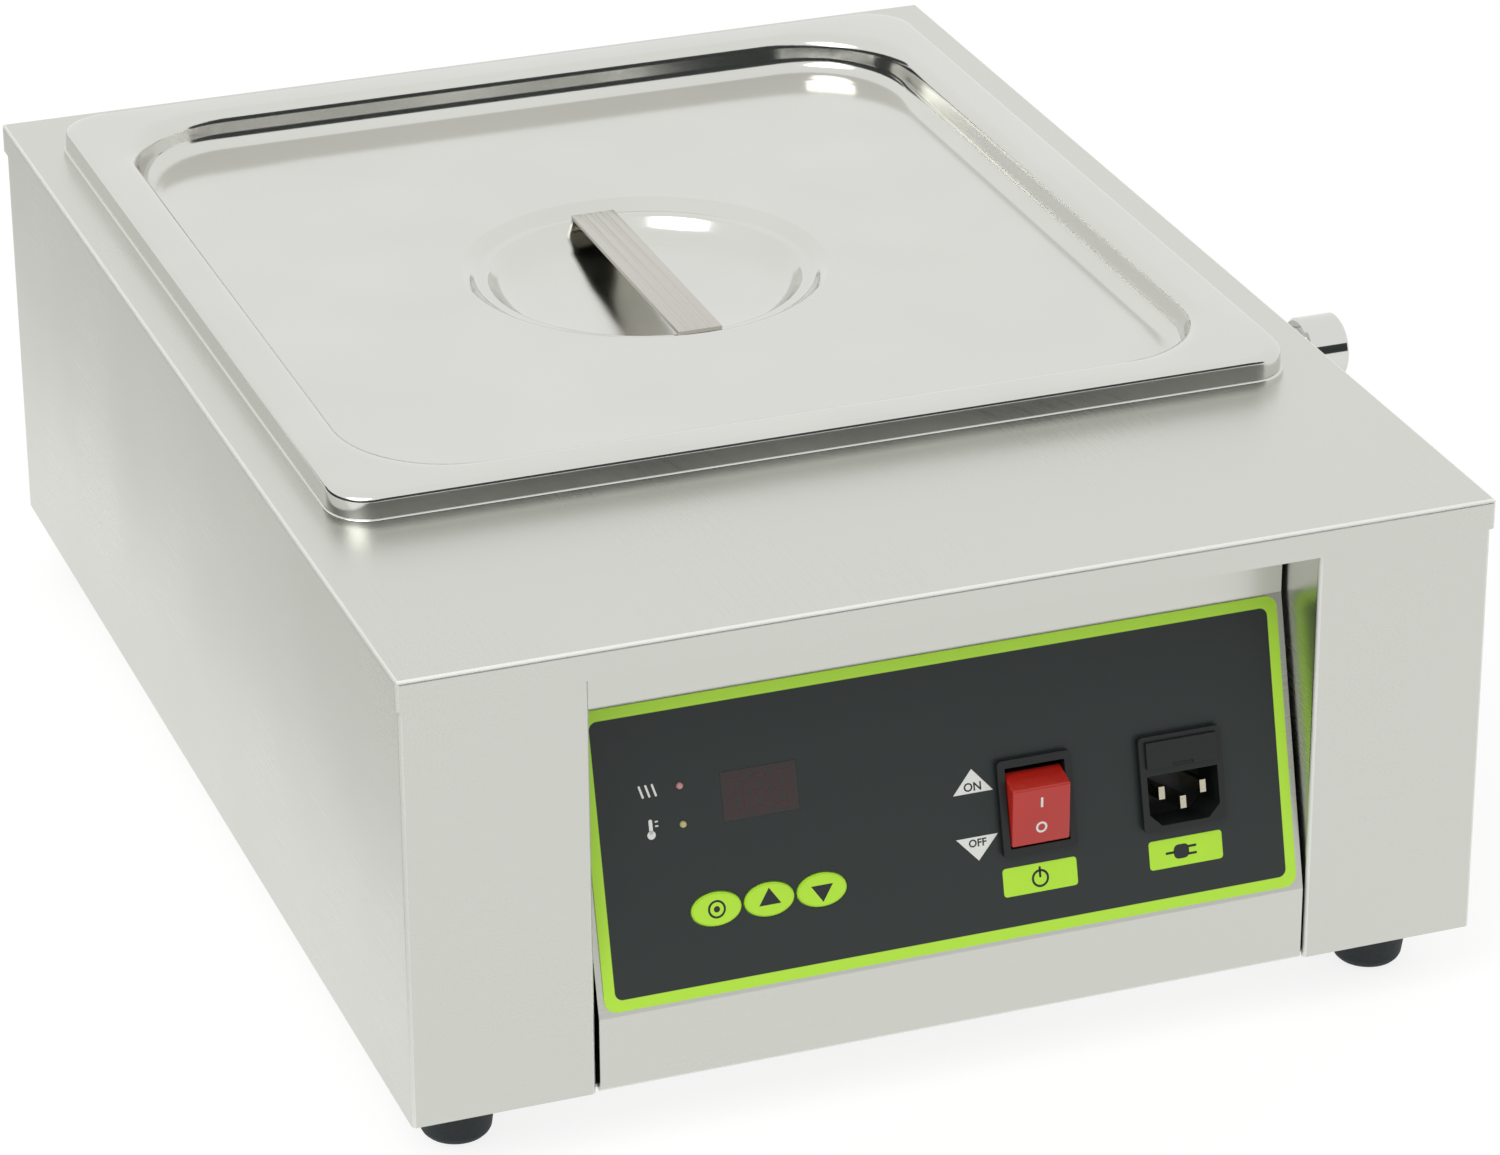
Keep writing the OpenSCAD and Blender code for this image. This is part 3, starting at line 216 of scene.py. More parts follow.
def bright_steel(name, colour, rough, wave=0.0):
    m = material(name)
    place = add(m, "TexCoord")
    waves = add(m, "TexNoise", {"Scale": per_metre(PRESS_WAVE), "Detail": 1.0}, {"Vector": (place, "Object")})
    across, run = per_metre(HAIRLINE), per_metre(HAIRLINE_RUN)
    hair = add(m, "Mapping", {"Scale": (across, run, across)}, {"Vector": (place, "Object")})
    lines = add(m, "TexNoise", {"Scale": 1.0, "Detail": 1.0}, {"Vector": (hair, "Vector")})
    roughness = spread_over(m, lines, "Fac", LINE_SPAN, rough * 0.92, rough * 1.08)
    shade = toned(m, colour, waves, "Fac", NOISE_SPAN, 0.97)
    bump = add(m, "Bump", {"Strength": wave, "Distance": 0.2 * MM}, {"Height": (waves, "Fac")})
    return surface(m, {"Metallic": 1.0}, (shade, "Color"), (roughness, "Result"), (bump, "Normal"))


lid_steel = bright_steel("bright_annealed_steel", "#D7D7D2", 0.13)
polished_steel = bright_steel("polished_steel", "#D8D8D4", 0.07)
strap_steel = bright_steel("rolled_strip_steel", "#C6C4BC", 0.24)
plated_steel = bright_steel("zinc_plated_steel", "#C9CCD0", 0.28, wave=0.1)
print("bright finishes:", lid_steel.name, polished_steel.name, plated_steel.name)

# %% [markdown]
# ## Plastics and rubber
# Moulded plastic has an even colour and a fine grain that the mould was etched with. Its index of
# refraction is near 1.5, and its roughness tells gloss from matt. Rubber is rougher and darker, with a dry
# bloom. A Bevel node rounds the shading of the sharp edges of small pieces by the radius of a real mould.

# %% Plastics and rubber
CLOUD = 20
LIME = "#C2F840"
SLATE = "#1C2625"


def moulded(name, colour, rough, grain=0.4, depth=0.05, ior=1.5, edge=0.25, coat=0.0, vary=0.05):
    m = material(name)
    place = add(m, "TexCoord")
    texture = add(m, "TexNoise", {"Scale": per_metre(grain), "Detail": 2.0}, {"Vector": (place, "Object")})
    cloud = add(m, "TexNoise", {"Scale": per_metre(CLOUD), "Detail": 2.0}, {"Vector": (place, "Object")})
    shade = toned(m, colour, cloud, "Fac", NOISE_SPAN, 1 - vary)
    roughness = spread_over(m, texture, "Fac", NOISE_SPAN, rough * 0.9, rough * 1.1)
    soft = add(m, "Bevel", {"Radius": edge * MM}, samples=4)
    bump = add(m, "Bump", {"Strength": depth, "Distance": 0.1 * MM},
               {"Height": (texture, "Fac"), "Normal": (soft, "Normal")})
    return surface(m, {"IOR": ior, "Coat Weight": coat}, (shade, "Color"), (roughness, "Result"),
                   (bump, "Normal"))


black_abs = moulded("black_moulded_nylon", "#1B1E1F", 0.38)
red_rocker = moulded("red_polycarbonate", "#C4281E", 0.22, depth=0.02, coat=0.3)
foot_rubber = moulded("black_foot_rubber", "#252C2F", 0.7, grain=0.6, depth=0.2, ior=1.52, vary=0.15)
grommet_rubber = moulded("soft_black_rubber", "#1C1E20", 0.6, grain=0.5, depth=0.1)
window_red = moulded("dark_red_acrylic", "#2E2020", 0.2, depth=0.0, coat=0.2)
grey_plastic = moulded("grey_phenolic", "#4A4E52", 0.5)
ivory_plastic = moulded("ivory_polyamide", "#DCD8C8", 0.45)
board_green = moulded("green_solder_mask", "#1F5A36", 0.35, grain=1.5, depth=0.2)
relay_blue = moulded("blue_relay_case", "#2F5FA8", 0.4)
brown_sheath = moulded("brown_wire_sheath", "#5A3A24", 0.45)
red_sheath = moulded("red_silicone_sheath", "#A02E26", 0.55)
grey_sheath = moulded("grey_wire_sheath", "#7A7C80", 0.45)
pink_lens = moulded("pink_lamp_lens", "#D89A96", 0.15, depth=0.0, edge=0.1)
amber_lens = moulded("amber_lamp_lens", "#CFC58A", 0.15, depth=0.0, edge=0.1)
segment_red = moulded("unlit_display_segments", "#4A2B2A", 0.3, depth=0.0, vary=0.02)
white_ink = moulded("white_screen_ink", "#F0F2EE", 0.5, depth=0.0, vary=0.02)
lime_ink = moulded("lime_screen_ink", LIME, 0.5, depth=0.0, vary=0.02)
dark_ink = moulded("dark_screen_ink", "#232A2B", 0.5, depth=0.0, vary=0.02)
glass_fibre = moulded("glass_fibre_felt", "#CFC6A4", 0.9, grain=2.0, depth=0.6, vary=0.2)
print("plastics made:", len([m for m in bpy.data.materials if m.use_nodes]))

# %% [markdown]
# ## Other metals and glass
# Terminals are brass, the heater plate is cast aluminium and the fuses are glass tubes with metal ends.

# %% Other metals and glass
terminal_brass = bright_steel("turned_brass", "#C9A655", 0.25)
cast_aluminium = moulded("cast_aluminium", "#B9BBBC", 0.45, grain=1.2, depth=0.3)
cast_aluminium.node_tree.nodes["Principled BSDF"].inputs["Metallic"].default_value = 1.0
fuse_glass = moulded("fuse_glass", "#D5DEDA", 0.08, depth=0.0, ior=1.52)
print("brass, aluminium and glass are ready")

# %% [markdown]
# ## Printed film
# The control panel carries a polycarbonate film, printed from behind: a lime border round a slate field.
# The border follows the panel's own measure, so the colour is chosen by the distance from the field's
# edge, with round corners. That distance is the usual one for a rounded rectangle: the part of the
# position that lies outside the inner rectangle, less the corner radius.

# %% Printed film
FOOT_H = 21.0
FRONT_Y = -241.0
KICK_H = 25.3
SLOPE_H = 93.6
SLOPE_BACK = 23.9
tilt = math.atan2(SLOPE_BACK, SLOPE_H)
FIELD = {"half": (112.0, 43.6), "middle": 48.9, "corner": 2.6, "blur": 0.08}


def printed_film():
    m = material("printed_polycarbonate_film")
    place = add(m, "TexCoord")
    axes = add(m, "SeparateXYZ", links={"Vector": (place, "Object")})
    height = add(m, "Math", {1: (FOOT_H + KICK_H) * MM}, {0: (axes, "Z")}, operation="SUBTRACT")
    along = add(m, "Math", {1: 1 / math.cos(tilt)}, {0: (height, "Value")}, operation="MULTIPLY")
    from_middle = add(m, "Math", {1: FIELD["middle"] * MM}, {0: (along, "Value")}, operation="SUBTRACT")
    outside = []
    for source, half in (((axes, "X"), FIELD["half"][0]), ((from_middle, "Value"), FIELD["half"][1])):
        size = add(m, "Math", links={0: source}, operation="ABSOLUTE")
        past = add(m, "Math", {1: (half - FIELD["corner"]) * MM}, {0: (size, "Value")}, operation="SUBTRACT")
        outside.append(add(m, "Math", {1: 0.0}, {0: (past, "Value")}, operation="MAXIMUM"))
    corner = add(m, "CombineXYZ", links={"X": (outside[0], "Value"), "Y": (outside[1], "Value")})
    distance = add(m, "VectorMath", links={0: (corner, "Vector")}, operation="LENGTH")
    inner, outer = (FIELD["corner"] - FIELD["blur"]) * MM, (FIELD["corner"] + FIELD["blur"]) * MM
    edge = spread_over(m, distance, "Value", (inner, outer), 0.0, 1.0)
    print_colour = add(m, "MixRGB", {"Color1": srgb(SLATE), "Color2": srgb(LIME)}, {"Fac": (edge, "Result")})
    grain = add(m, "TexNoise", {"Scale": per_metre(0.5), "Detail": 2.0}, {"Vector": (place, "Object")})
    bump = add(m, "Bump", {"Strength": 0.1, "Distance": 0.05 * MM}, {"Height": (grain, "Fac")})
    film = add(m, "BsdfPrincipled", {"Roughness": 0.42, "IOR": 1.58},
               {"Base Color": (print_colour, "Color"), "Normal": (bump, "Normal")})
    add(m, "OutputMaterial", links={"Surface": (film, "BSDF")})
    return m


film = printed_film()
print("slope leans back by", round(math.degrees(tilt), 2), "degrees")

# %% [markdown]
# ## Finishes on the CAD nodes
# Sheets are brushed along their longest side, as the mill does it. Everything else takes the finish that
# such a piece is sold with.

# %% Finishes on the CAD nodes
FINISHES = {
    satin_back: ["top_tray", "side_panel_left", "side_panel_right"],
    satin_across: ["control_panel", "rear_panel"],
    mill_steel: ["base_plate", "bath_tank", "clamp_bars"],
    plated_steel: ["rear_screws", "base_screws", "board_posts", "clamp_nuts", "foot_screws", "foot_nuts",
                   "bath_probe"],
    polished_steel: ["port_stub", "port_cap"],
    lid_steel: ["food_pan", "lid", "lid_handle"],
    film: ["overlay"],
    window_red: ["display_window"],
    lime_ink: ["set_key", "up_key", "down_key"],
    black_abs: ["switch_housing", "inlet_body", "fuse_drawer", "display_module", "overheat_cutout"],
    red_rocker: ["rocker"],
    grey_plastic: ["key_switches", "board_components"],
    board_green: ["control_board"],
    ivory_plastic: ["terminal_block"],
    terminal_brass: ["switch_blades", "probe_gland", "earth_stud"],
    cast_aluminium: ["plate_heater"],
    fuse_glass: ["fuses"],
    glass_fibre: ["insulation_mat"],
    brown_sheath: ["mains_wires"],
    red_sheath: ["heater_wires"],
    grey_sheath: ["signal_wires"],
    foot_rubber: ["feet"],
    grommet_rubber: ["port_grommet", "port_washer"],
    pink_lens: ["heat_lamp"],
    amber_lens: ["thermal_lamp"],
}
pin_nickel = bright_steel("nickel_plated_brass", "#CFC9B4", 0.2)
FINISHES[pin_nickel] = ["inlet_pins"]
for finish, names in FINISHES.items():
    for name in names:
        paint(name, finish)
left_out = sorted(set(nodes) - {name for names in FINISHES.values() for name in names})
print("nodes without a finish:", left_out)

# %% [markdown]
# ## Pressed shells
# The lid and the pan are each one sheet, pressed between two dies. A pressed shell can be made by stacking
# outlines: a ring for every bend, each one a rectangle with its own corner radius, and a band of faces
# between one ring and the next. A ring is a plane whose corners are bevelled, so all rings have the same
# number of points and the bands are clean. Bends are rounded first, by adding rings along a small curve
# round each bend, because a die has no sharp edge. The bridge tool looks along the line between two rings'
# middles, so the rings are stacked well apart while they are bridged and then set at their true heights.

# %% Rings of a pressed shell
CORNER_STEPS = 14
BEND_STEPS = 5
BEND_REACH = 0.49
STACK = 0.05
SMOOTH_ANGLE = math.radians(35)


def rounded(profile):
    """Adds rows round each bend. A row is half width, half depth, height, corner radius and bend."""
    rows = [profile[0][:4]]
    for before, here, after in zip(profile, profile[1:], profile[2:]):
        b, bend = Vector(here[:4]), here[4]
        if bend == 0:
            rows.append(tuple(b))
            continue
        ends = []
        for other in (before, after):
            way = Vector(other[:4]) - b
            ends.append(b + way * min(bend / math.hypot(way[0], way[2]), BEND_REACH))
        for k in range(BEND_STEPS + 1):
            s = k / BEND_STEPS
            rows.append(tuple(ends[0] * (1 - s) ** 2 + b * 2 * s * (1 - s) + ends[1] * s ** 2))
    rows.append(profile[-1][:4])
    return rows


def select_rings(shell, *tags):
    """Selects the edges that lie inside one ring, for each of the rings named by their tags."""
    bpy.ops.mesh.select_all(action="DESELECT")
    mesh = bmesh.from_edit_mesh(shell.data)
    tag = mesh.verts.layers.int["ring"]
    for edge in mesh.edges:
        first, second = edge.verts[0][tag], edge.verts[1][tag]
        if first == second and first in tags:
            edge.select_set(True)


def ring_shell(name, centre, rows, thickness):
    bpy.ops.object.select_all(action="DESELECT")
    bpy.ops.mesh.primitive_plane_add(size=1, location=(0, 0, 0))
    shell = bpy.context.object
    shell.name = name
    bpy.ops.object.mode_set(mode="EDIT")
    bpy.ops.mesh.delete(type="VERT")
    bmesh.from_edit_mesh(shell.data).verts.layers.int.new("ring")
    for number, (half_w, half_d, height, corner) in enumerate(rows, start=1):
        middle = Vector((centre[0] * MM, centre[1] * MM, number * STACK))
        bpy.ops.mesh.select_all(action="DESELECT")
        bpy.ops.mesh.primitive_plane_add(size=2, location=middle)
        bpy.ops.transform.resize(value=(half_w * MM, half_d * MM, 1), center_override=middle)
        bpy.ops.mesh.bevel(offset=min(corner, 0.999 * min(half_w, half_d)) * MM, segments=CORNER_STEPS,
                           affect="VERTICES")
        bpy.ops.mesh.delete(type="ONLY_FACE")
        mesh = bmesh.from_edit_mesh(shell.data)
        tag = mesh.verts.layers.int["ring"]
        for point in mesh.verts:
            if point[tag] == 0:
                point[tag] = number
        if number > 1:
            select_rings(shell, number - 1, number)
            bpy.ops.mesh.bridge_edge_loops()
    select_rings(shell, len(rows))
    bpy.ops.mesh.edge_face_add()
    for number, row in enumerate(rows, start=1):
        select_rings(shell, number)
        bpy.ops.transform.translate(value=(0, 0, (centre[2] + row[2]) * MM - number * STACK))
    bpy.ops.mesh.select_all(action="SELECT")
    bpy.ops.mesh.normals_make_consistent(inside=False)
    cap = max(bmesh.from_edit_mesh(shell.data).faces, key=lambda face: len(face.verts))
    if cap.normal.z < 0:
        bpy.ops.mesh.flip_normals()
    bpy.ops.object.mode_set(mode="OBJECT")
    wall = shell.modifiers.new("sheet", "SOLIDIFY")
    wall.thickness = thickness * MM
    wall.offset = -1
    bpy.ops.object.modifier_apply(modifier=wall.name)
    bpy.ops.object.shade_smooth_by_angle(angle=SMOOTH_ANGLE)
    return shell


def finish_piece(piece, body, slot_name, look, *replaced):
    """Gives a made piece its finish, its body and the CAD nodes that it stands for."""
    piece.data.materials.clear()
    piece.data.materials.append(look)
    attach(piece, body)
    if replaced:
        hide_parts(*replaced)
    triangles = sum(len(face.vertices) - 2 for face in piece.data.polygons)
    print(piece.name, "rides on", body, "with", triangles, "triangles")


print("a ring has", 4 * (CORNER_STEPS + 1), "points")

# %% [markdown]
# ## Food pan
# The two-thirds pan lies on the tray by its rolled rim. Only the rim shows under the lid, but the whole pan
# is made, because it lifts out. Its walls lean in towards the floor so that pans stack.

# %% Food pan
TRAY_TOP = 172.3
PAN = {"half": (162.5, 177.0), "centre": (-2.5, 39.7), "rim": 14.5, "rim_h": 2.2, "depth": 100.0}
pan_w, pan_d = PAN["half"]


def inset(by, height, corner, bend=0.0):
    """One row of a shell, drawn in from the pan's outline."""
    return (pan_w - by, pan_d - by, height, corner, bend)


pan_rows = rounded([
    inset(0, 0, 15), inset(0, PAN["rim_h"], 15, 0.8), inset(PAN["rim"] - 1, PAN["rim_h"], 40, 2.2),
    inset(PAN["rim"] + 9, 1 - PAN["depth"], 36, 9), inset(PAN["rim"] + 22, -PAN["depth"], 28),
])
pan_shell = ring_shell("food_pan_pressing", (*PAN["centre"], TRAY_TOP), pan_rows, 0.9)
finish_piece(pan_shell, "pan", "steel_lid", lid_steel, "food_pan")

# %% [markdown]
# ## Lid
# The lid's edge is folded down over the pan's rim. Inside a flat border the sheet is pressed down to a wide
# recess with large corners, which stiffens it, and in the middle to a round dish that makes room for
# fingers under the strap handle. A shelf in the dish's wall carries the strap's ends.

# %% Lid
LID = {"inset": 0.75, "height": 7.5, "border": 16.0, "recess": 13.0, "dish": 60.4}
low = LID["height"] - LID["recess"]


def disc(radius, below, bend=0.0):
    """One round row of the dish, measured down from the recess."""
    return (radius, radius, low - below, radius, bend)


step = LID["inset"]
border = LID["inset"] + LID["border"]
lid_rows = rounded([
    inset(step, 0, 14.5), inset(step + 0.35, LID["height"], 14.2, 2.3), inset(border, LID["height"], 42, 4.0),
    inset(border + 1.6, low, 39, 5.5), disc(LID["dish"] + 2.5, 0, 0.6), disc(LID["dish"], 1.2, 0.9),
    disc(LID["dish"] - 2.4, 3.1, 0.9), disc(54.2, 3.1, 1.0), disc(48.5, 9.8, 5.0), disc(20, 12.0),
])
lid_shell = ring_shell("lid_pressing", (*PAN["centre"], TRAY_TOP + PAN["rim_h"]), lid_rows, 0.8)
finish_piece(lid_shell, "lid", "steel_lid", lid_steel, "lid")

# %% [markdown]
# ## Strap handle
# The handle is a short strap of rolled strip with shallow grooves along it, spot-welded to the shelf at both
# ends. A block is bevelled along its edges, and the grooves are inset from its top face and pushed down.

# %% Strap handle
STRAP = {"half_w": 7.8, "half_d": 55.7, "top": 167.4, "thick": 1.5, "groove": 0.35, "slope": 0.12}


def box(name, low, high):
    """A block between two corners, in millimetres, left in edit mode."""
    low, high = Vector(low) * MM, Vector(high) * MM
    bpy.ops.object.select_all(action="DESELECT")
    bpy.ops.mesh.primitive_cube_add(size=1, location=(0, 0, 0))
    made = bpy.context.object
    made.name = name
    bpy.ops.object.mode_set(mode="EDIT")
    bpy.ops.mesh.select_all(action="SELECT")
    bpy.ops.transform.resize(value=tuple(high - low), center_override=(0, 0, 0))
    bpy.ops.transform.translate(value=tuple((high + low) / 2))
    return made


def cut(place, facing):
    """Cuts everything off beyond a plane and closes the cut."""
    bpy.ops.mesh.select_all(action="SELECT")
    bpy.ops.mesh.bisect(plane_co=Vector(place) * MM, plane_no=facing, use_fill=True, clear_outer=True)


def soften(made, width, steps=3, angle=30):
    """Rounds every sharp edge by a bevel, as the tool that made the piece does."""
    bpy.ops.object.mode_set(mode="OBJECT")
    edge = made.modifiers.new("edge", "BEVEL")
    edge.width = width * MM
    edge.segments = steps
    edge.limit_method = "ANGLE"
    edge.angle_limit = math.radians(angle)
    bpy.ops.object.modifier_apply(modifier=edge.name)
    bpy.ops.object.shade_smooth_by_angle(angle=SMOOTH_ANGLE)


strap_x, strap_y = PAN["centre"]
strap_low = (strap_x - STRAP["half_w"], strap_y - STRAP["half_d"], STRAP["top"] - STRAP["thick"])
strap_high = (strap_x + STRAP["half_w"], strap_y + STRAP["half_d"], STRAP["top"])
strap = box("strap_handle_strip", strap_low, strap_high)
GROOVES = (-4.6, -3.2, -0.7, 0.7, 3.2, 4.6)
for across in GROOVES:
    bpy.ops.mesh.select_all(action="SELECT")
    bpy.ops.mesh.bisect(plane_co=Vector((strap_x + across, 0, 0)) * MM, plane_no=(1, 0, 0))
mesh = bmesh.from_edit_mesh(strap.data)
bpy.ops.mesh.select_all(action="DESELECT")
for face in mesh.faces:
    across = face.calc_center_median().x / MM - strap_x
    if face.normal.z > 0.9 and any(a < across < b for a, b in zip(GROOVES[::2], GROOVES[1::2])):
        face.select_set(True)
bpy.ops.mesh.inset(thickness=STRAP["slope"] * MM, depth=-STRAP["groove"] * MM)
soften(strap, 0.28)
finish_piece(strap, "lid", "steel_lid", strap_steel, "lid_handle")

# %% [markdown]
# ## Rocker
# The red rocker is moulded with flat ends that fall away from its face. It is cut from a block by four
# planes, its edges are rounded, and it is leaned about its pin to the off position.

# %% Rocker
SWITCH = (29.4, 43.3)
PIN_W = -6.6
LEAN = math.radians(14)
ROCKER = {"half_w": 9.7, "face": 12.2, "half_face": 9.7, "reach": 12.3, "low": 3.2, "foot": 3.0,
          "bottom": -2.4}


def slope_place(u, v, w):
    """The matrix that carries a piece from its own plane to a place on the leaning panel."""
    lean = Matrix.Rotation(math.radians(90) - tilt, 4, "X")
    return Matrix.Translation(Vector((0, FRONT_Y, FOOT_H + KICK_H)) * MM) @ lean @ Matrix.Translation(
        Vector((u, v, w)) * MM)


def settle(piece, place):
    """Puts a finished piece at its place and leaves its object at the origin."""
    bpy.ops.object.select_all(action="DESELECT")
    piece.select_set(True)
    bpy.context.view_layer.objects.active = piece
    piece.matrix_world = place
    bpy.ops.object.transform_apply(location=True, rotation=True, scale=True)


rocker_place = slope_place(SWITCH[0], SWITCH[1], PIN_W) @ Matrix.Rotation(LEAN, 4, "X")
rocker = box("rocker_moulding", (-ROCKER["half_w"], -ROCKER["reach"], ROCKER["bottom"]),
             (ROCKER["half_w"], ROCKER["reach"], ROCKER["face"]))
end_fall = math.atan2(ROCKER["reach"] - ROCKER["half_face"], ROCKER["face"] - ROCKER["low"])
foot_fall = math.atan2(ROCKER["low"] - ROCKER["bottom"], ROCKER["reach"] - ROCKER["foot"])
for side in (-1, 1):
    corner = (0, side * ROCKER["reach"], ROCKER["low"])
    cut(corner, (0, side * math.cos(end_fall), math.sin(end_fall)))
    cut(corner, (0, side * math.sin(foot_fall), -math.cos(foot_fall)))
soften(rocker, 0.7, steps=4)
settle(rocker, rocker_place)
finish_piece(rocker, "rocker", "red_plastic", red_rocker, "rocker")

# %% [markdown]
# ## Printed marks
# The film's labels and the keys' signs are thin layers of ink, so each is a flat outline with a hair of
# thickness. Bars, rings and triangles are enough for all of them. The signs are those of many appliances:
# heat waves, a thermometer, a dotted ring, a power sign and a plug.

# %% Printed marks
INK_T = 0.02
FILM_TOP = 0.5
KEY_TOP = 1.3
ROUND_POINTS = 40
CORNER_POINTS = 4
BAR_END = 0.3


def lay_bar(u, v, width, height, corner=0.0, turn=0.0):
    middle = Vector((u, v, 0)) * MM
    bpy.ops.mesh.select_all(action="DESELECT")
    bpy.ops.mesh.primitive_plane_add(size=1, location=middle)
    bpy.ops.transform.resize(value=(width * MM, height * MM, 1), center_override=middle)
    if corner:
        bpy.ops.mesh.bevel(offset=corner * MM, segments=CORNER_POINTS, affect="VERTICES")
    if turn:
        bpy.ops.transform.rotate(value=math.radians(turn), orient_axis="Z", center_override=middle)


def lay_disc(u, v, radius):
    bpy.ops.mesh.select_all(action="DESELECT")
    bpy.ops.mesh.primitive_circle_add(vertices=ROUND_POINTS, radius=radius * MM, fill_type="NGON",
                                      location=Vector((u, v, 0)) * MM)


def lay_ring(u, v, radius, width):
    middle = Vector((u, v, 0)) * MM
    bpy.ops.mesh.select_all(action="DESELECT")
    bpy.ops.mesh.primitive_circle_add(vertices=ROUND_POINTS, radius=radius * MM, fill_type="NOTHING",
                                      location=middle)
    bpy.ops.mesh.extrude_edges_move()
    inner = 1 - width / radius
    bpy.ops.transform.resize(value=(inner, inner, 1), center_override=middle)


def lay_triangle(u, v, width, height, way=1):
    middle = Vector((u, v, 0)) * MM
    bpy.ops.mesh.select_all(action="DESELECT")
    bpy.ops.mesh.primitive_circle_add(vertices=3, radius=MM, fill_type="NGON", location=middle)
    bpy.ops.transform.resize(value=(width / math.sqrt(3), way * height / 1.5, 1), center_override=middle)


def print_marks(name, marks, ink, body, slot_name, place):
    """Lays a list of marks on one plane, gives them a hair of thickness and settles them at their place."""
    bpy.ops.object.select_all(action="DESELECT")
    bpy.ops.mesh.primitive_plane_add(size=1, location=(0, 0, 0))
    made = bpy.context.object
    made.name = name
    bpy.ops.object.mode_set(mode="EDIT")
    bpy.ops.mesh.delete(type="VERT")
    for lay, *sizes in marks:
        lay(*sizes)
    bpy.ops.mesh.select_all(action="SELECT")
    bpy.ops.mesh.normals_make_consistent(inside=False)
    bpy.ops.mesh.extrude_region_move(TRANSFORM_OT_translate={"value": (0, 0, INK_T * MM)})
    bpy.ops.mesh.select_all(action="SELECT")
    bpy.ops.mesh.normals_make_consistent(inside=False)
    bpy.ops.object.mode_set(mode="OBJECT")
    settle(made, place)
    finish_piece(made, body, slot_name, ink)


DIGIT = {"reach": 2.3, "rise": 2.55, "bar": 0.8, "gap": 0.9, "pitch": 7.2, "middle": (-59.8, 62.5)}


def digit(u, v):
    """The seven bars of one unlit digit."""
    reach, rise, bar = DIGIT["reach"], DIGIT["rise"], DIGIT["bar"]
    flat = [(lay_bar, u, v + k * 2 * rise, 2 * reach - DIGIT["gap"], bar, BAR_END) for k in (-1, 0, 1)]
    upright = [(lay_bar, u + x * reach, v + y * rise, bar, 2 * rise - DIGIT["gap"], BAR_END)
               for x in (-1, 1) for y in (-1, 1)]
    return flat + upright


# Each mark is a shape, its place across and up the panel, and its sizes.
SIGN_U = -95.5
HEAT_V = 68.4
HEAT_PITCH = 2.1
HEAT_TURN = -16
SWITCH_U = 29.05
INLET_U = 78.5
LABEL_V = 19.5
heat_sign = [(lay_bar, SIGN_U + k * HEAT_PITCH, HEAT_V, 0.7, 4.2, BAR_END, HEAT_TURN) for k in (-1, 0, 1)]
thermometer = [(lay_disc, SIGN_U, 54.6, 1.35), (lay_bar, SIGN_U, 57.2, 1.2, 4.6, 0.5),
               (lay_bar, SIGN_U + 1.9, 57.2, 1.0, 0.5), (lay_bar, SIGN_U + 1.9, 58.6, 1.0, 0.5)]
arrows = [(lay_triangle, 9.15, 52.5, 13.3, 7.7), (lay_triangle, 9.25, 33.4, 14.0, 7.7, -1)]
labels = [(lay_bar, SWITCH_U, LABEL_V, 24.9, 9.2, 1.1), (lay_bar, INLET_U, LABEL_V, 25.0, 9.3, 1.1)]
power_sign = [(lay_ring, SWITCH_U, 19.2, 2.9, 0.75), (lay_bar, SWITCH_U, 21.2, 0.75, 3.6, BAR_END)]
plug_sign = [(lay_bar, INLET_U - 1.5, LABEL_V, 5.2, 4.6, 1.6)]
plug_sign += [(lay_bar, INLET_U + 2.2, LABEL_V + rise, 3.0, 0.8, BAR_END) for rise in (1.2, -1.2)]
plug_sign += [(lay_bar, INLET_U - 5.3, LABEL_V, 3.2, 0.8, BAR_END)]
on_film = slope_place(0, 0, FILM_TOP)
print_marks("panel_print_white", heat_sign + thermometer + arrows, white_ink, "casing", "film", on_film)
print_marks("panel_print_lime", labels, lime_ink, "casing", "film", on_film)
on_label = slope_place(0, 0, FILM_TOP + INK_T)
print_marks("panel_print_dark", power_sign + plug_sign, dark_ink, "casing", "film", on_label)
display_u, display_v = DIGIT["middle"]
segments = [bar for k in (-1, 0, 1) for bar in digit(display_u + k * DIGIT["pitch"], display_v)]
print_marks("display_segments", segments, segment_red, "casing", "window", on_film)
on_rocker = rocker_place @ Matrix.Translation((0, 0, ROCKER["face"] * MM))
stroke_and_ring = [(lay_bar, 0, 4.5, 0.8, 3.4, 0.2), (lay_ring, 0, -4.1, 1.9, 0.7)]
print_marks("rocker_marks", stroke_and_ring, white_ink, "rocker", "red_plastic", on_rocker)
KEY_V = 28.3
KEY_U = -60.1
KEY_PITCH = 17.2
key_marks = {
    "set_key": [(lay_ring, 0, 0, 2.9, 0.7), (lay_disc, 0, 0, 1.0)],
    "up_key": [(lay_triangle, 0, 0.2, 7.2, 5.4)],
    "down_key": [(lay_triangle, 0, -0.2, 7.2, 5.4, -1)],
}
for order, (key, marks) in enumerate(key_marks.items()):
    on_key = slope_place(KEY_U + (order - 1) * KEY_PITCH, KEY_V, KEY_TOP)
    print_marks(key + "_sign", marks, dark_ink, key, "key_film", on_key)

# %% [markdown]
# ## Lettering
# The white arrows beside the rocker say ON and OFF, which any switch may say. Each word is a text that is
# turned into a mesh before it is set in its place.

# %% Lettering
WORD_BOLD = 0.08
WORD_STEPS = 3
WORD_TOP = FILM_TOP + 1.5 * INK_T


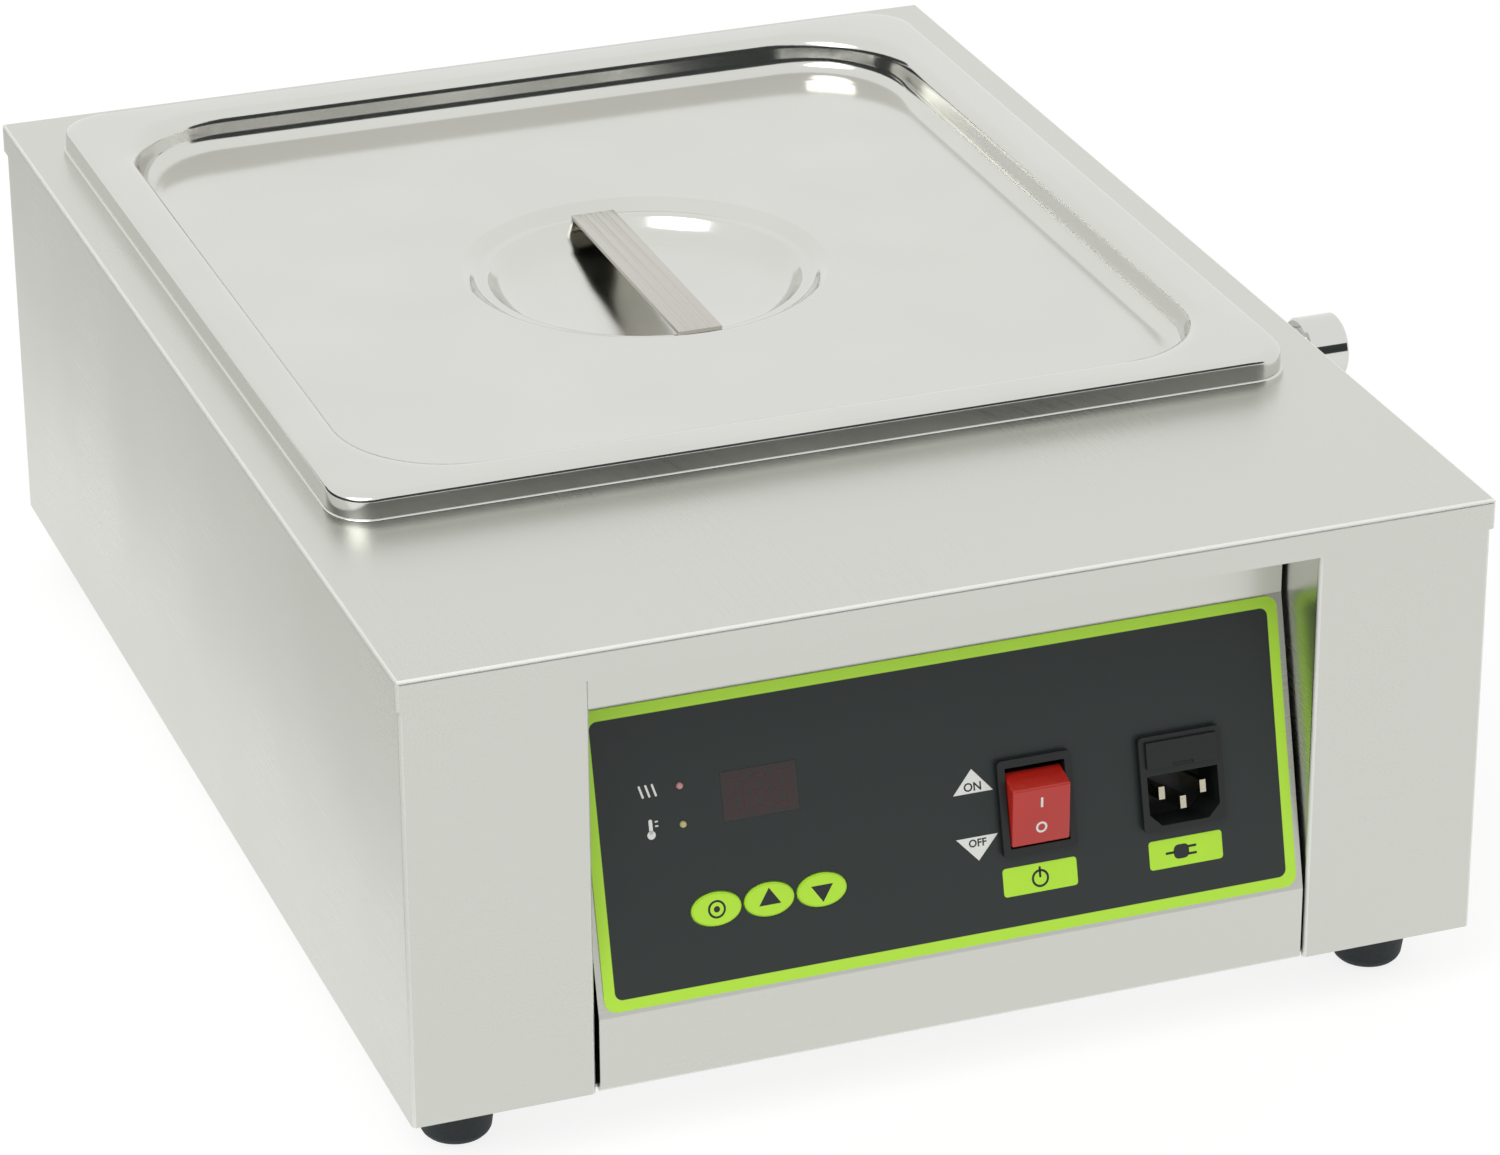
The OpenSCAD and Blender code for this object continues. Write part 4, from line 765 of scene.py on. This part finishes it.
def print_word(name, word, size, ink, place):
    bpy.ops.object.select_all(action="DESELECT")
    bpy.ops.object.text_add(location=(0, 0, 0))
    made = bpy.context.object
    made.name = name
    made.data.body = word
    made.data.size = size * MM
    made.data.align_x = "CENTER"
    made.data.align_y = "CENTER"
    made.data.resolution_u = WORD_STEPS
    made.data.offset = WORD_BOLD * MM
    made.data.extrude = INK_T * MM / 2
    bpy.ops.object.convert(target="MESH")
    made = bpy.context.object
    settle(made, place)
    finish_piece(made, "casing", "film", ink)


print_word("word_on", "ON", 3.8, dark_ink, slope_place(9.15, 51.8, WORD_TOP))
print_word("word_off", "OFF", 3.4, dark_ink, slope_place(9.25, 33.9, WORD_TOP))

# %% [markdown]
# ## Studio
# The floor is plain and pale. A material that looks white to the camera and to mirrors, but lights the
# object at a plain level, gives the photograph's white ground without adding light. The world does the
# same. One large soft lamp from the upper left gives the faces their small differences. Bright steel shows
# what stands round it, so three cards that only reflections see stand in for the photographer's room: a
# dark one in front and a dark one on the left, which draw the lid's rim, and a pale one on the floor at the
# left, which takes the side panel down a little.

# %% Studio
FLOOR_SIZE = 16
FLOOR_SHARE = 0.72
FLOOR_GLOW = 1.14
ROOM_LEVEL = 0.62


def looked_at(owner):
    """1 for a ray from the camera, off a mirror or through glass, and 0 for light that spreads."""
    path = add(owner, "LightPath")
    seen = add(owner, "Math", links={0: (path, "Is Camera Ray"), 1: (path, "Is Glossy Ray")},
               operation="MAXIMUM")
    return add(owner, "Math", links={0: (seen, "Value"), 1: (path, "Is Transmission Ray")},
               operation="MAXIMUM")


def white_ground():
    m = material("studio_floor")
    share = add(m, "Math", {1: FLOOR_SHARE}, {0: (looked_at(m), "Value")}, operation="MULTIPLY")
    paper = add(m, "BsdfDiffuse", {"Color": srgb("#F4F4F2")})
    glow = add(m, "Emission", {"Color": (1, 1, 1, 1), "Strength": FLOOR_GLOW})
    mixed = add(m, "MixShader", links={0: (share, "Value"), 1: (paper, "BSDF"), 2: (glow, "Emission")})
    add(m, "OutputMaterial", links={"Surface": (mixed, "Shader")})
    return m


bpy.ops.object.select_all(action="DESELECT")
bpy.ops.mesh.primitive_plane_add(size=FLOOR_SIZE)
floor = bpy.context.object
floor.name = "studio_floor"
floor.data.materials.append(white_ground())

world = bpy.data.worlds.new("studio_world")
bpy.context.scene.world = world
world.use_nodes = True
world.node_tree.nodes.clear()
level = add(world, "MapRange", {"To Min": ROOM_LEVEL, "To Max": 1.0}, {"Value": (looked_at(world), "Value")})
sky = add(world, "Background", {"Color": (1, 1, 1, 1)}, {"Strength": (level, "Result")})
add(world, "OutputWorld", links={"Surface": (sky, "Background")})


def soft_lamp(name, place, aim, size, watts):
    data = bpy.data.lights.new(name, "AREA")
    data.shape = "DISK"
    data.size = size
    data.energy = watts
    lamp = bpy.data.objects.new(name, data)
    bpy.context.scene.collection.objects.link(lamp)
    lamp.location = place
    lamp.rotation_euler = (Vector(aim) - Vector(place)).to_track_quat("-Z", "Y").to_euler()


UPRIGHT = math.radians(90)
CARD_AWAY = 2.4
CARD_MIDDLE = 0.8
CARD_WIDE = 6
CARD_HIGH = 1.24


def reflector(name, finish, place, spans, turn):
    """A card that only polished and brushed faces see."""
    bpy.ops.object.select_all(action="DESELECT")
    bpy.ops.mesh.primitive_plane_add(size=1, location=place, rotation=turn)
    card = bpy.context.object
    card.name = name
    bpy.ops.object.mode_set(mode="EDIT")
    bpy.ops.transform.resize(value=spans, center_override=place)
    bpy.ops.object.mode_set(mode="OBJECT")
    card.data.materials.append(finish)
    card.visible_camera = False
    card.visible_diffuse = False
    card.visible_shadow = False


pale_card = moulded("pale_grey_card", "#EFEFEB", 0.8, depth=0.0)
reflector("dark_card", dark_ink, (0, -CARD_AWAY, CARD_MIDDLE), (CARD_WIDE, 1, CARD_HIGH), (UPRIGHT, 0, 0))
reflector("left_card", dark_ink, (-CARD_AWAY, 0.6, CARD_MIDDLE), (1, CARD_WIDE, CARD_HIGH), (0, UPRIGHT, 0))
reflector("pale_card", pale_card, (-1.1, 0.5, 2 * MM), (1.7, 2.0, 1), (0, 0, 0))
soft_lamp("key_lamp", (-1.6, -1.2, 2.4), (0, 0, 0.1), size=2.4, watts=30)
bpy.context.scene.view_settings.view_transform = "Standard"
